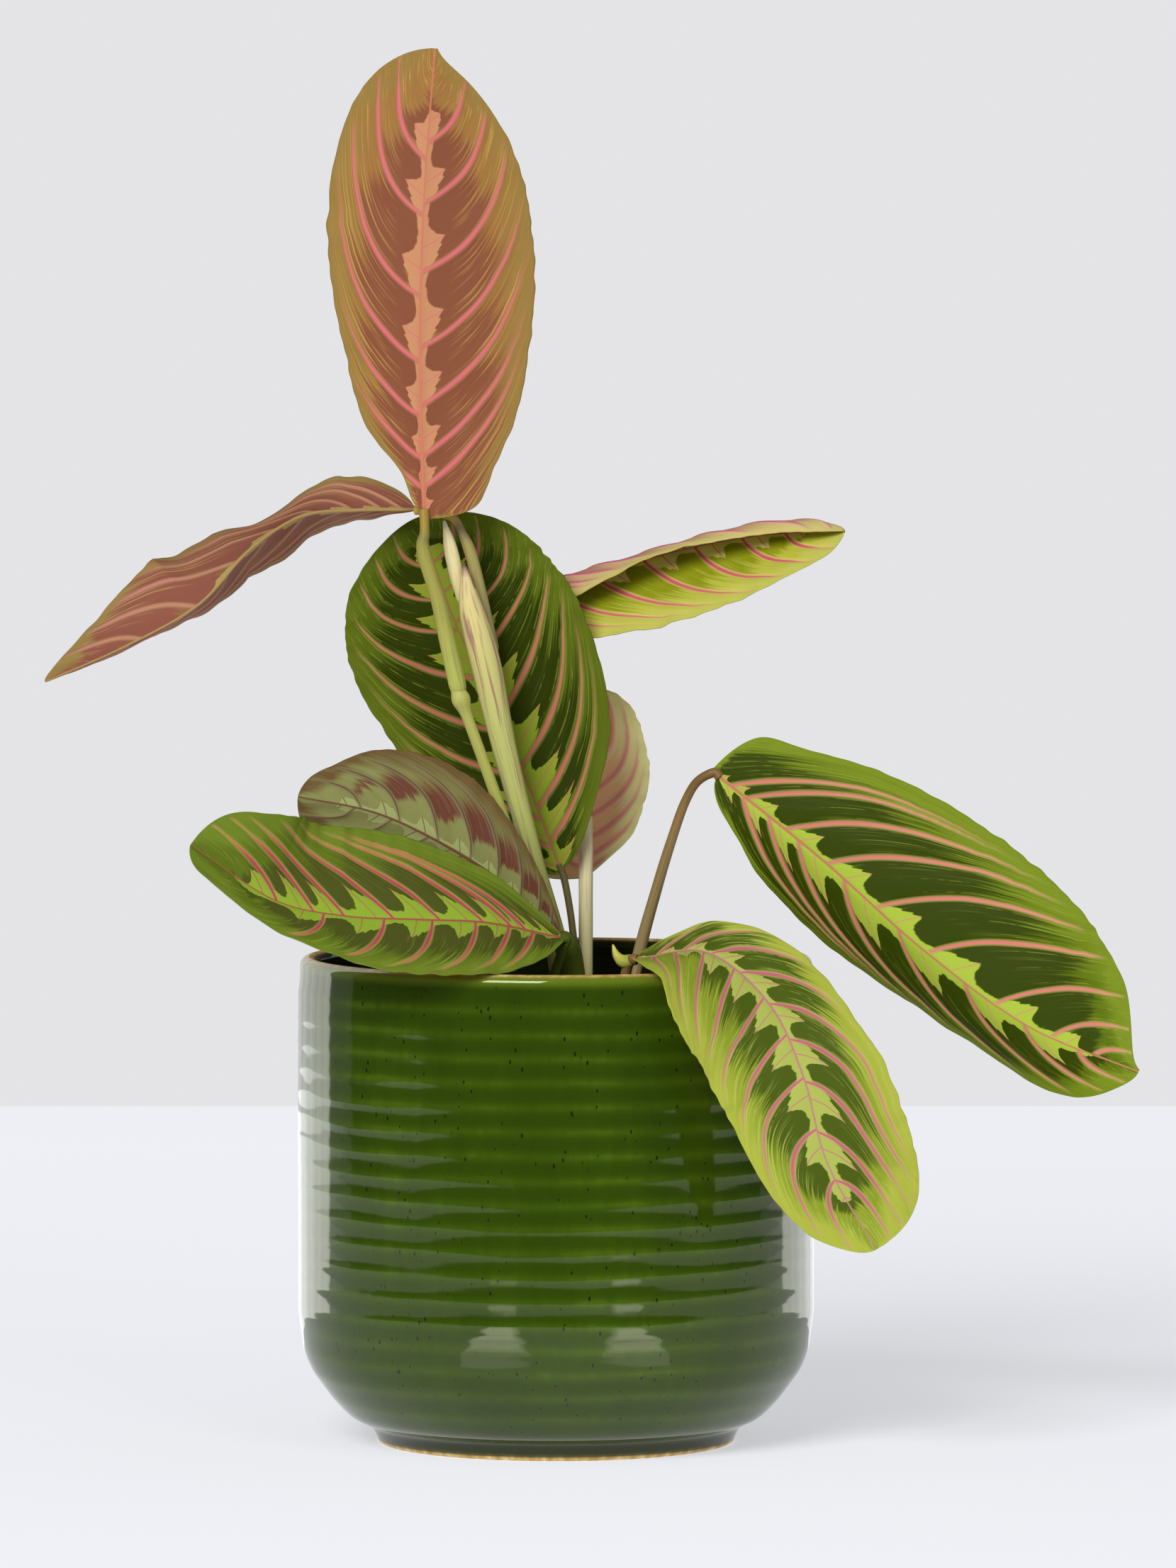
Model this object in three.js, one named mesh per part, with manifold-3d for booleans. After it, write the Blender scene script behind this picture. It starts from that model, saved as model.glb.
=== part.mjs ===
// A potted prayer plant (Maranta leuconeura): nine patterned leaves on thin petioles,
// planted in a plastic grow pot that stands inside a ribbed, green-glazed ceramic cover pot.
// Millimetres, +Z up. The origin is the middle of the cover pot's flat foot.
// The plant's front looks along -Y, and +X is to the right of that view.
import * as THREE from 'three';
import { mergeVertices } from 'three/addons/utils/BufferGeometryUtils.js';
import Module from 'manifold-3d';

const wasm = await Module();
wasm.setup();

// ---------------------------------------------------------------- driving dimensions
const GAP = 0.3; // clearance between pieces that touch

const COVER_POT = {
  height: 137.5, radius: 72.8, wall: 5, floor: 6,
  footRadius: 50.5, footTopRadius: 52.9, footHeight: 5, sides: 48,
};
const GROW_POT = {
  height: 117, rimRadius: 63.5, topRadius: 60.5, bottomRadius: 47, wall: 1.5,
  lipHeight: 7, drainRadius: 4, drainRing: 34, drains: 6, sides: 36,
};
const SOIL_TOP = 118; // height of the potting mix at its middle
const SOIL_CROWN = 2.5; // how far its middle stands above its edge
const ROOT_DEPTH = 12; // how deep each stem goes into the mix

const BLADE_THICKNESS = 0.8;
const BLADE_ACROSS = 8; // facets across a blade
const BLADE_ALONG = 12; // facets from a blade's base to its tip
const BLADE_END = 0.8; // least half width, at both ends of a blade

const STEM_SIDES = 8;
const STEM_ROWS = 12; // rows of facets along a stem
const KNOB_RADIUS = 2.7; // the swollen node half way up the top leaf's stem

const LEAF_GREEN = 0x4c7a1e;
const LEAF_BROWN = 0x8a5a45;
const STEM_GREEN = 0xa3a56a;
const STEM_BROWN = 0x75623f;
const SPEAR_CREAM = 0xefe6b8;
const BRACT_YELLOW = 0xa9a850;
const GLAZE_GREEN = 0x2f4f16;
const GROW_POT_BLACK = 0x2c2b29;
const MIX_BROWN = 0x4a3526;

// ---------------------------------------------------------------- the leaves
// Each blade is a sheet bent over its midrib. spine: the midrib's points from base to tip.
// face: the way the upper surface looks, all along or point by point. For the left and right
// half, seen from above with the tip up: widths, the half widths at rows that lie closer
// together at both ends; lift, the degrees by which the half rises out of the blade's plane at
// each spine point; curl, the degrees by which it then bends on before its margin.
const AWAY = [0, 1, 0];
const TOWARD = [0, -1, 0];
const LEAVES = {
  // stands upright with its underside to the front
  top: {
    spine: [[-37, -12, 263.5], [-38, -6, 295.5], [-38, -1, 328.5], [-36.5, 3, 361], [-34, 6, 393]],
    face: AWAY,
    widths: [[0, 14.5, 20.3, 27, 30.8, 32.4, 30.2, 24.3, 14.1, 3.2, 0],
      [0, 4.5, 8.5, 18.6, 23.8, 27.8, 29.3, 26.8, 21.2, 11.4, 0]],
    lift: [[10, 10, 8, 8, 10], [30, 30, 24, 22, 20]],
  },
  // folded along its midrib, droops to the left
  left: {
    spine: [[-39.5, -4, 263.5], [-55.5, -8, 263.5], [-71.5, -12, 262], [-86, -17, 252.5],
      [-100, -22, 237.5], [-120.5, -26, 226], [-142.5, -30, 216.5]],
    face: [0, 1, 0.1],
    widths: [[0, 7.4, 14.5, 20.3, 23.9, 25, 23.8, 19, 11, 4, 0],
      [0, 7.4, 14.5, 20.3, 23.9, 25, 23.8, 19, 11, 4, 0]],
    lift: [[60, 66, 89, 71, 46, 53, 60], [76, 71, 61, 72, 80, 81, 80]],
  },
  // hangs with its tip up behind the shoots and shows its upper surface
  centre: {
    spine: [[0.8, 12, 162], [-12, 14, 195], [-26, 14, 225], [-33, 14, 243], [-38.5, 12, 261]],
    face: TOWARD,
    widths: [[0, 7, 16, 26, 30, 32.6, 31, 26.3, 17.2, 8, 0],
      [0, 7, 16, 27, 33, 34.5, 32, 28.4, 22, 12, 0]],
    lift: [[10, 8, 8, 8, 8], [8, 6, 6, 6, 8]],
  },
  // its upper half rolls over towards the front
  rolled: {
    spine: [[-16, 40, 231.5], [3, 36, 241], [31.5, 28, 250], [58, 18, 255.5], [81.5, 8, 257]],
    face: [0, -0.75, 0.65],
    widths: [[0, 7.9, 14.9, 19, 18, 16, 14.5, 13, 11, 6, 0],
      [0, 8.2, 15.5, 21, 24.2, 26, 24.2, 20.5, 14.4, 8.5, 0]],
    lift: [[80, 88, 102, 68, 30], [10, 5, 0, 0, 5]],
    curl: [[130, 120, 58, 126, 200], [0, 0, 0, 0, 0]],
  },
  // a small leaf at the back
  back: {
    spine: [[8.3, 36, 157], [7, 42, 175.5], [4.5, 46, 192.5], [-1, 50, 208.5]],
    face: AWAY,
    widths: [[0, 2, 7, 14, 18.2, 21, 21, 20.2, 16.5, 10, 0],
      [0, 11, 16.5, 19, 20, 20, 18.9, 16, 11, 6, 0]],
    lift: [[10, 10, 10, 10], [15, 15, 15, 15]],
  },
  // reaches out to the left over the rim
  lower_left: {
    spine: [[2, -40, 145.5], [-18.5, -50, 150.5], [-38, -58, 152], [-58.5, -65, 153.5],
      [-78, -71, 158.5], [-100.5, -77, 174]],
    face: [0, -0.6, 0.8],
    widths: [[0, 5, 14, 21.5, 23.8, 22.9, 17.5, 11.5, 8, 6.5, 0],
      [0, 3.5, 11.2, 19.2, 25, 28, 27, 26, 20, 12.2, 0]],
    lift: [[6, 0, 0, 0, 0, 0], [15, 17, 21, 24, 30, 45]],
  },
  // stands behind it with its underside to the front
  underside: {
    spine: [[1, -26, 145], [-14, -31, 159.5], [-30, -34, 170.5], [-50, -34, 180], [-72, -32, 184.5]],
    face: [0, 1, 0.2],
    widths: [[0, 2.5, 5.8, 10.1, 15, 19.8, 20.8, 17.5, 11, 6, 0],
      [0, 7.9, 14.9, 20.1, 23.2, 24, 22.6, 19.5, 14.5, 9.5, 0]],
    lift: [[32, 25, 25, 25, 25], [25, 25, 25, 25, 25]],
  },
  // the large leaf that arches out to the right
  right: {
    spine: [[45.5, -10, 189], [75, -17, 165.5], [103, -26, 141], [132, -37, 120.5], [162, -50, 109]],
    face: [0, -1, 0.15],
    widths: [[0, 15.1, 21.1, 28.4, 35, 38, 36.8, 32, 22, 4, 0],
      [0, 5.5, 10.5, 18.5, 24, 23.5, 21.5, 18.6, 12.5, 5.5, 0]],
    lift: [[0, 5, 5, 5, 0], [0, -25, -42, -38, -5]],
    curl: [[0, 0, 0, 0, 0], [0, -30, -30, -30, 0]],
  },
  // bends over the rim and hangs down the front of the pot
  front: {
    spine: [[22, -50, 140.5], [42, -60, 143], [59, -69, 129.5], [68.5, -75, 109.5],
      [75, -76, 86], [88.5, -72, 61.5]],
    face: [[0, -0.3, 1], [0, -0.5, 0.9], [0.2, -1, 0.6], [0, -1, 0.1], TOWARD, TOWARD],
    widths: [[0, 4, 8, 12.8, 16.8, 19, 23.2, 24.6, 21.5, 13.5, 0],
      [0, 5, 15, 24, 27.5, 25.5, 23, 18.5, 14, 6.5, 0]],
    lift: [[20, 15, 5, 0, 0, 0], [9, 4, 0, 0, 0, 0]],
  },
};

// ---------------------------------------------------------------- the stems
// A path starts at the bottom, and radii are spread evenly along it. One that has a leaf ends
// where that leaf's midrib starts, and one that is rooted starts down in the potting mix.
const KNOB = [-26.7, -12, 210.6];
const STEMS = {
  shoot_left: {
    radii: [3, 2.9, 2.3, 2.8, 3.6, 2.8, 0.4], rooted: true,
    path: [[3, -2], [1, -2, 135], [-6.5, -2.5, 165], [-14.1, -4, 194], [-19.9, -5, 220],
      [-24, -5, 236], [-25.8, -5, 248]],
  },
  shoot_right: { radii: [1.9, 1.9], rooted: true, path: [[8.3, 18], [8.3, 19, 145], [8.3, 20.5, 176]] },
  petiole_left: {
    radii: [1.7, 1.8, 1.7, 1.3, 1.5], leaf: 'left', pulvinus: 3,
    path: [[-17.4, -0.3, 222.4], [-19.9, 0.6, 233.6], [-21.8, 0.6, 242], [-23.9, 0.6, 250.5],
      [-26.1, 0.8, 256], [-29.2, 1, 261.2]],
  },
  petiole_centre: {
    radii: [1.2, 1, 1, 1.2], leaf: 'centre', pulvinus: 4, rooted: true,
    path: [[6.5, 7], [5.6, 9, 131.5], [4.4, 10.3, 146]],
  },
  petiole_rolled: {
    radii: [1.6, 1.6], leaf: 'rolled', pulvinus: 3,
    path: [[8.3, 20.8, 177], [5, 26, 192], [-6, 34, 212], [-17, 40, 225]],
  },
  petiole_back: {
    radii: [1.5, 1.5], leaf: 'back', pulvinus: 3, rooted: true,
    path: [[9, 30], [8.8, 31, 135], [8.4, 33.5, 149]],
  },
  petiole_lower_left: {
    radii: [1.5, 1.3, 1.4], leaf: 'lower_left', pulvinus: 1.5, rooted: true,
    path: [[-4, -20], [-2, -29, 128], [1.5, -37, 141]],
  },
  petiole_underside: {
    radii: [3.4, 3.4, 3, 1.4], leaf: 'underside', pulvinus: 2, rooted: true,
    path: [[4, -14], [4.5, -18, 128], [3.8, -21.5, 138]],
  },
  petiole_right: {
    radii: [2, 1.7, 1.4, 1.5], leaf: 'right', pulvinus: 1.5, rooted: true,
    path: [[19, 4], [22.3, 2, 133], [28.6, -3.5, 157.6], [33.6, -6.3, 174], [36.6, -7.5, 182.1],
      [39.8, -8.5, 187.3]],
  },
  petiole_front: {
    radii: [1.6, 1.5, 1.5], leaf: 'front', pulvinus: 1.5, rooted: true,
    path: [[17, -34], [18, -41, 125], [19.5, -47, 136]],
  },
};
const TOP_STEM = {
  radii: [1.4, 1.6, 1.6, 1.7],
  path: [[-4, -5.3, 144], [-8.2, -8.3, 157.7], [-17.5, -10.5, 185], KNOB],
};
const TOP_PETIOLE = {
  radii: [2.6, 2.2, 1.95, 1.45, 1.5], leaf: 'top', pulvinus: 6,
  path: [[-27.4, -12.1, 213.9], [-30.7, -12.5, 228], [-33.3, -12.8, 239.3], [-37.2, -13.3, 252.5]],
};
// the furled young leaf behind the left shoot's sheath, and the hooked bract in front
const SPEAR = {
  radii: [1, 1.75, 1.7, 0.3], path: [[-26.6, -1.5, 237], [-29, -1.4, 249], [-31.6, -2.9, 261]],
};
const BRACT = {
  radii: [1.6, 1.4, 0.2], path: [[18, -48, 139.6], [16.2, -47.6, 141.4], [15.6, -47.2, 144.6]],
};

// ---------------------------------------------------------------- helpers
const vector = ([x, y, z = SOIL_TOP - ROOT_DEPTH]) => new THREE.Vector3(x, y, z);
const curveThrough = (points) => new THREE.CatmullRomCurve3(points.map(vector), false, 'catmullrom', 0.5);
const valueAlong = (values, v) => curveThrough(values.map((value) => [value, 0, 0])).getPoint(v).x;
const radians = THREE.MathUtils.degToRad;

function weld(geometry) {
  geometry.deleteAttribute('normal');
  geometry.deleteAttribute('uv');
  return mergeVertices(geometry, 1e-4);
}

function solid(geometry) {
  const welded = weld(geometry);
  const vertProperties = Float32Array.from(welded.attributes.position.array);
  const triVerts = Uint32Array.from(welded.index.array);
  return new wasm.Manifold(new wasm.Mesh({ numProp: 3, vertProperties, triVerts }));
}

function geometryOf(manifold) {
  const { vertProperties, triVerts } = manifold.getMesh();
  const geometry = new THREE.BufferGeometry();
  geometry.setAttribute('position', new THREE.BufferAttribute(Float32Array.from(vertProperties), 3));
  geometry.setIndex(new THREE.BufferAttribute(Uint32Array.from(triVerts), 1));
  return geometry;
}

function turned(profile, sides) {
  const geometry = new THREE.LatheGeometry(profile, sides);
  geometry.rotateX(Math.PI / 2); // the lathe turns about Y
  return geometry;
}

// a round stem along a path, whose radii are spread evenly from its start to its end
function stem(radii, points) {
  const curve = curveThrough(points);
  const geometry = weld(new THREE.CylinderGeometry(1, 1, 1, STEM_SIDES, STEM_ROWS));
  const position = geometry.attributes.position;
  const sideways = new THREE.Vector3(0, 1, 0);
  for (let i = 0; i < position.count; i += 1) {
    const t = position.getY(i) + 0.5;
    const radius = valueAlong(radii, t);
    const along = curve.getTangent(t);
    const first = new THREE.Vector3().crossVectors(sideways, along).normalize();
    const second = new THREE.Vector3().crossVectors(along, first);
    const point = curve.getPoint(t);
    point.addScaledVector(first, -radius * position.getX(i));
    point.addScaledVector(second, radius * position.getZ(i));
    position.setXYZ(i, point.x, point.y, point.z);
  }
  return geometry;
}

// ---------------------------------------------------------------- pots and mix
function coverPot() {
  const { height, radius, wall, floor, footRadius, footTopRadius, footHeight, sides } = COVER_POT;
  const bore = radius - wall;
  const rimRound = wall / 2;
  const crest = bore + rimRound - 0.5; // radius of the rim's highest line
  const belly = new THREE.SplineCurve([
    new THREE.Vector2(footTopRadius, footHeight), new THREE.Vector2(59.1, 8.4),
    new THREE.Vector2(66.1, 16.5), new THREE.Vector2(70.7, 24.6), new THREE.Vector2(radius, 37),
  ]);
  const inside = new THREE.SplineCurve([
    new THREE.Vector2(bore, 42), new THREE.Vector2(bore - 2.6, 22), new THREE.Vector2(bore - 9, 10.5),
    new THREE.Vector2(bore - 18, floor),
  ]);
  const profile = [new THREE.Vector2(0, 0), new THREE.Vector2(footRadius, 0)];
  profile.push(...belly.getPoints(6), new THREE.Vector2(radius, height - 12));
  profile.push(new THREE.Vector2(radius - 0.5, height - 7)); // the wall leans in below the rim
  for (let step = 0; step <= 4; step += 1) {
    const angle = (Math.PI * step) / 4;
    const r = crest + rimRound * Math.cos(angle);
    profile.push(new THREE.Vector2(r, height - rimRound * (1 - Math.sin(angle))));
  }
  profile.push(new THREE.Vector2(bore, height - 8), ...inside.getPoints(5), new THREE.Vector2(0, floor));
  return turned(profile, sides);
}

function growPot() {
  const { height, rimRadius, topRadius, bottomRadius, wall, lipHeight, sides } = GROW_POT;
  const bottom = COVER_POT.floor + GAP;
  const top = bottom + height;
  const profile = [
    [0, bottom], [bottomRadius, bottom], [topRadius, top - lipHeight], [rimRadius, top - lipHeight],
    [rimRadius, top], [topRadius - wall, top], [bottomRadius - wall, bottom + wall], [0, bottom + wall],
  ].map(([r, z]) => new THREE.Vector2(r, z));
  let pot = solid(turned(profile, sides));
  for (let i = 0; i < GROW_POT.drains; i += 1) {
    const angle = (2 * Math.PI * i) / GROW_POT.drains;
    const drill = new THREE.CylinderGeometry(GROW_POT.drainRadius, GROW_POT.drainRadius, 4 * wall, 10);
    drill.rotateX(Math.PI / 2);
    drill.translate(GROW_POT.drainRing * Math.cos(angle), GROW_POT.drainRing * Math.sin(angle), bottom);
    pot = pot.subtract(solid(drill));
  }
  return geometryOf(pot);
}

// the potting mix fills the grow pot and has a socket for each rooted stem
function pottingMix(rootedStems) {
  const { height, topRadius, bottomRadius, wall } = GROW_POT;
  const bottom = COVER_POT.floor + GAP + wall;
  const wallTop = COVER_POT.floor + GAP + height;
  const flare = (topRadius - bottomRadius) / (wallTop - bottom);
  const radiusAt = (z) => bottomRadius - wall - GAP + flare * (z - bottom);
  const edge = SOIL_TOP - SOIL_CROWN;
  const profile = [
    [0, bottom + GAP], [radiusAt(bottom), bottom + GAP], [radiusAt(edge), edge],
    [0.6 * radiusAt(edge), edge + 0.7 * SOIL_CROWN], [0, SOIL_TOP],
  ].map(([r, z]) => new THREE.Vector2(r, z));
  let mix = solid(turned(profile, GROW_POT.sides));
  for (const { radii, path } of rootedStems) {
    const start = vector(path[0]);
    const along = vector(path[1]).sub(start).normalize();
    const below = start.clone().addScaledVector(along, -GAP);
    const above = start.clone().addScaledVector(along, 2 * ROOT_DEPTH);
    const socketPath = [below, start, above].map((point) => point.toArray());
    const radius = radii[0] + 2 * GAP;
    mix = mix.subtract(solid(stem([radius, radius], socketPath)));
  }
  return geometryOf(mix);
}

// ---------------------------------------------------------------- blades
function halfWidth(leaf, side, v) {
  return Math.max(valueAlong(leaf.widths[side], Math.acos(1 - 2 * v) / Math.PI), BLADE_END);
}

function bladeFrame(leaf, v) {
  const spine = curveThrough(leaf.spine);
  const origin = spine.getPoint(v);
  const along = spine.getPoint(Math.min(v + 1e-3, 1)).sub(spine.getPoint(Math.max(v - 1e-3, 0))).normalize();
  const face = Array.isArray(leaf.face[0]) ? curveThrough(leaf.face).getPoint(v) : vector(leaf.face);
  const normal = face.addScaledVector(along, -face.dot(along)).normalize();
  const across = new THREE.Vector3().crossVectors(along, normal);
  return { origin, along, normal, across };
}

// u runs from the left margin, -1, to the right one, 1; rise is the height above the middle surface
function bladePoint(leaf, u, v, rise) {
  const { origin, normal, across } = bladeFrame(leaf, v);
  const side = u < 0 ? 0 : 1;
  const lift = radians(valueAlong(leaf.lift[side], v));
  const curl = leaf.curl ? radians(valueAlong(leaf.curl[side], v)) : 0;
  const width = halfWidth(leaf, side, v);
  const s = Math.abs(u);
  let out = s * Math.cos(lift);
  let up = s * Math.sin(lift);
  if (Math.abs(curl) > 1e-4) {
    out = (Math.sin(lift + curl * s) - Math.sin(lift)) / curl;
    up = (Math.cos(lift) - Math.cos(lift + curl * s)) / curl;
  }
  const tilt = u === 0 ? 0 : lift + curl * s;
  const outward = across.clone().multiplyScalar(side === 0 ? -1 : 1);
  const surface = origin.clone().addScaledVector(outward, width * out).addScaledVector(normal, width * up);
  surface.addScaledVector(normal, rise * Math.cos(tilt));
  return surface.addScaledVector(outward, -rise * Math.sin(tilt));
}

function blade(leaf) {
  const geometry = weld(new THREE.BoxGeometry(2, 2, BLADE_THICKNESS, BLADE_ACROSS, BLADE_ALONG, 1));
  const position = geometry.attributes.position;
  for (let i = 0; i < position.count; i += 1) {
    const u = position.getX(i);
    const v = (1 - Math.cos((Math.PI * (position.getY(i) + 1)) / 2)) / 2; // closer together at both ends
    const point = bladePoint(leaf, u, v, position.getZ(i));
    position.setXYZ(i, point.x, point.y, point.z);
  }
  return geometry;
}

// ---------------------------------------------------------------- stems
// the last stretch of a petiole, its pulvinus, runs in line with the midrib that it carries
function pathToLeaf({ path, leaf, pulvinus }) {
  const { origin, along } = bladeFrame(LEAVES[leaf], 0);
  const joint = origin.clone().addScaledVector(along, -pulvinus).toArray();
  const end = origin.clone().addScaledVector(along, -GAP).toArray();
  return [...path, joint, end];
}

function topStem() {
  const knob = new THREE.SphereGeometry(KNOB_RADIUS, 10, 8);
  knob.translate(...KNOB);
  return geometryOf(solid(stem(TOP_STEM.radii, TOP_STEM.path)).add(solid(knob)));
}

// ---------------------------------------------------------------- assembly
const plant = new THREE.Group();

function addPiece(name, geometry, color, roughness) {
  const material = new THREE.MeshStandardMaterial({ color, roughness, metalness: 0 });
  const mesh = new THREE.Mesh(geometry, material);
  mesh.name = name;
  plant.add(mesh);
}

const rootedStems = Object.values(STEMS).filter(({ rooted }) => rooted);
addPiece('cover_pot', coverPot(), GLAZE_GREEN, 0.15);
addPiece('grow_pot', growPot(), GROW_POT_BLACK, 0.6);
addPiece('soil', pottingMix(rootedStems), MIX_BROWN, 0.95);

for (const [name, { radii, leaf, path, pulvinus }] of Object.entries(STEMS)) {
  const whole = leaf ? pathToLeaf({ path, leaf, pulvinus }) : path;
  addPiece(name, stem(radii, whole), leaf ? STEM_BROWN : STEM_GREEN, 0.5);
}
addPiece('stem_top_leaf', topStem(), STEM_GREEN, 0.5);
addPiece('petiole_top', stem(TOP_PETIOLE.radii, pathToLeaf(TOP_PETIOLE)), STEM_GREEN, 0.5);
addPiece('sheath_tip', stem(SPEAR.radii, SPEAR.path), SPEAR_CREAM, 0.5);
addPiece('bract_front', stem(BRACT.radii, BRACT.path), BRACT_YELLOW, 0.5);

for (const [name, leaf] of Object.entries(LEAVES)) {
  const color = leaf.face === AWAY ? LEAF_BROWN : LEAF_GREEN; // undersides are reddish brown
  addPiece(`leaf_${name}`, blade(leaf), color, 0.45);
}

export default plant;
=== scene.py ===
import random
from bisect import bisect
from functools import partial
from math import acos, cos, exp, hypot, pi, radians, sin, sqrt

import bmesh
import bpy
from mathutils import Matrix, Vector, noise


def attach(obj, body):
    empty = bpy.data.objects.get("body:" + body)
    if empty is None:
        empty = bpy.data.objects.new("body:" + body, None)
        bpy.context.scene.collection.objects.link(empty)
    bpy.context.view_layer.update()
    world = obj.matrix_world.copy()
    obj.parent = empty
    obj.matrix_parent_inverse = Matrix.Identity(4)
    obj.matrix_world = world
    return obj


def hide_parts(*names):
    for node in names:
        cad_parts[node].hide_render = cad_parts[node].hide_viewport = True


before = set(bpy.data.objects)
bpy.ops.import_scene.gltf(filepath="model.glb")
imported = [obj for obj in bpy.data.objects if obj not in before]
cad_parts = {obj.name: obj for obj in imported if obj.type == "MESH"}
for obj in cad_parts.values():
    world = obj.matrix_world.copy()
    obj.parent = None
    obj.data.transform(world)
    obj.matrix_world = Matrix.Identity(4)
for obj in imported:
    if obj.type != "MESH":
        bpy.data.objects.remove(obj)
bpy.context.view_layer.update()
MM = 0.001

# ---- camera, in metres
CAMERA_PLACE = (0.008975, -3.3, 0.391)
CAMERA_PITCH = 3.554  # degrees below the horizon
CAMERA_LENS = 269.28
SENSOR_HEIGHT = 36.0


def make_camera():
    data = bpy.data.cameras.new("camera")
    data.lens = CAMERA_LENS
    data.sensor_fit = "VERTICAL"
    data.sensor_height = SENSOR_HEIGHT
    camera = bpy.data.objects.new("camera", data)
    camera.location = CAMERA_PLACE
    camera.rotation_euler = (radians(90 - CAMERA_PITCH), 0, 0)
    bpy.context.scene.collection.objects.link(camera)
    bpy.context.scene.camera = camera


make_camera()


# ---- helpers for shapes
def blend_in(low, high, value):
    """0 below low, 1 above high, and smooth between them."""
    t = min(1.0, max(0.0, (value - low) / (high - low)))
    return t * t * (3 - 2 * t)


def along_curve(values, t):
    """The point at t, from 0 to 1, of the smooth curve through evenly spaced values."""
    last = len(values) - 1
    x = min(max(t, 0.0), 1.0) * last
    i = min(int(x), last - 1)
    f = x - i
    b, c = values[i], values[i + 1]
    a = values[i - 1] if i else b * 2 - c
    d = values[i + 2] if i + 2 <= last else c * 2 - b
    return (b * 2 + (c - a) * f + (a * 2 - b * 5 + c * 4 - d) * f**2
            + (b * 3 - a - c * 3 + d) * f**3) * 0.5


def points(*values):
    return [Vector(value) for value in values]


def path_length(path):
    return sum((b - a).length for a, b in zip(path, path[1:]))


def make_object(mesh, name, materials):
    data = bpy.data.meshes.new(name)
    mesh.to_mesh(data)
    mesh.free()
    for material in materials:
        data.materials.append(material)
    made = bpy.data.objects.new(name, data)
    bpy.context.scene.collection.objects.link(made)
    return made


def finish_piece(mesh, name, node, slot, *materials):
    """Makes a bmesh in millimetres into a smooth piece that stands for a CAD node."""
    bmesh.ops.scale(mesh, vec=(MM, MM, MM), verts=mesh.verts)
    for face in mesh.faces:
        face.smooth = True
    piece = make_object(mesh, name, materials)
    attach(piece, "root")
    if node:
        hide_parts(node)
    return piece


# ---- helpers for materials
def linear(code):
    """A colour written as sRGB hex, as the linear values that shaders work in."""
    channels = [int(code[i:i + 2], 16) / 255 for i in (1, 3, 5)]
    return tuple(c / 12.92 if c <= 0.04045 else ((c + 0.055) / 1.055) ** 2.4 for c in channels) + (1.0,)


SOFTLY = {"interpolation_type": "SMOOTHSTEP"}  # for a MapRange that eases in and out
COLOURS = {"out": 2, "data_type": "RGBA"}  # for a Mix of two colours


def add_node(tree, kind, inputs=(), out=0, stops=None, **settings):
    """Adds a node with its settings, values and links, and gives one of its outputs. kind is one
    word, or "Math" with its operation. inputs has the sockets' names or numbers as its keys, or
    is a list in the order of the sockets."""
    kind, *operation = kind.split()
    node = tree.nodes.new("ShaderNode" + kind)
    if operation:
        node.operation = operation[0]
    for key, value in settings.items():
        setattr(node, key, value)
    if stops:
        elements = node.color_ramp.elements
        while len(elements) < len(stops):
            elements.new(1.0)
        for element, (position, colour) in zip(elements, stops):
            element.position = position
            element.color = linear(colour) if isinstance(colour, str) else (colour,) * 3 + (1.0,)
    for key, value in inputs.items() if isinstance(inputs, dict) else enumerate(inputs):
        if isinstance(value, bpy.types.NodeSocket):
            tree.links.new(value, node.inputs[key])
        else:
            node.inputs[key].default_value = value
    return node.outputs[out] if node.outputs else node


def new_material(name):
    """A material with an empty tree, and the function that adds a node to it."""
    material = bpy.data.materials.new(name)
    material.use_nodes = True
    material.node_tree.nodes.clear()
    return material, partial(add_node, material.node_tree)


def finish_material(material, colour, gloss, relief, strength, depth, shader=None):
    """Gives a material its shader. relief is the height that the bump shows, depth its size in
    millimetres, and shader holds the shader's own settings."""
    add = partial(add_node, material.node_tree)
    bump = add("Bump", {"Strength": strength, "Distance": depth * MM, "Height": relief})
    inputs = {"Base Color": colour, "Roughness": gloss, "Normal": bump}
    surface = add("BsdfPrincipled", inputs | (shader or {}))
    add("OutputMaterial", {"Surface": surface})
    return material


# ---- leaf skins
# Living leaf: a satin cuticle over tissue whose colour follows the veins. The eye gets a pale
# zone with toothed lobes along the midrib, a dark blotch beyond it in each field between two
# lateral veins, a feathered change to a lighter margin, and coloured veins with pale edges.
LEAF_IOR = 1.42
LEAF_SHINE = 0.06
LEAF_ROUGHNESS = (0.45, 0.57)
# what make_blade writes on a blade's points, in the order in which leaf_skin reads it
LEAF_LAYERS = ("vein_count", "spread", "side", "vein_pitch", "lobe", "rib_distance", "rib_half", "shown",
               "blotch_end")
VEIN_WIDTHS = [(0.0, 0.30), (0.12, 0.42), (0.40, 0.55), (0.70, 0.42), (1.0, 0.12)]  # half widths, mm
VEIN_BLUR = 0.12  # mm by which a vein's side is softened
PALE_EDGE = (0.75, 0.15)  # mm from a vein's side to the outside and the inside of its pale edge
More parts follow.
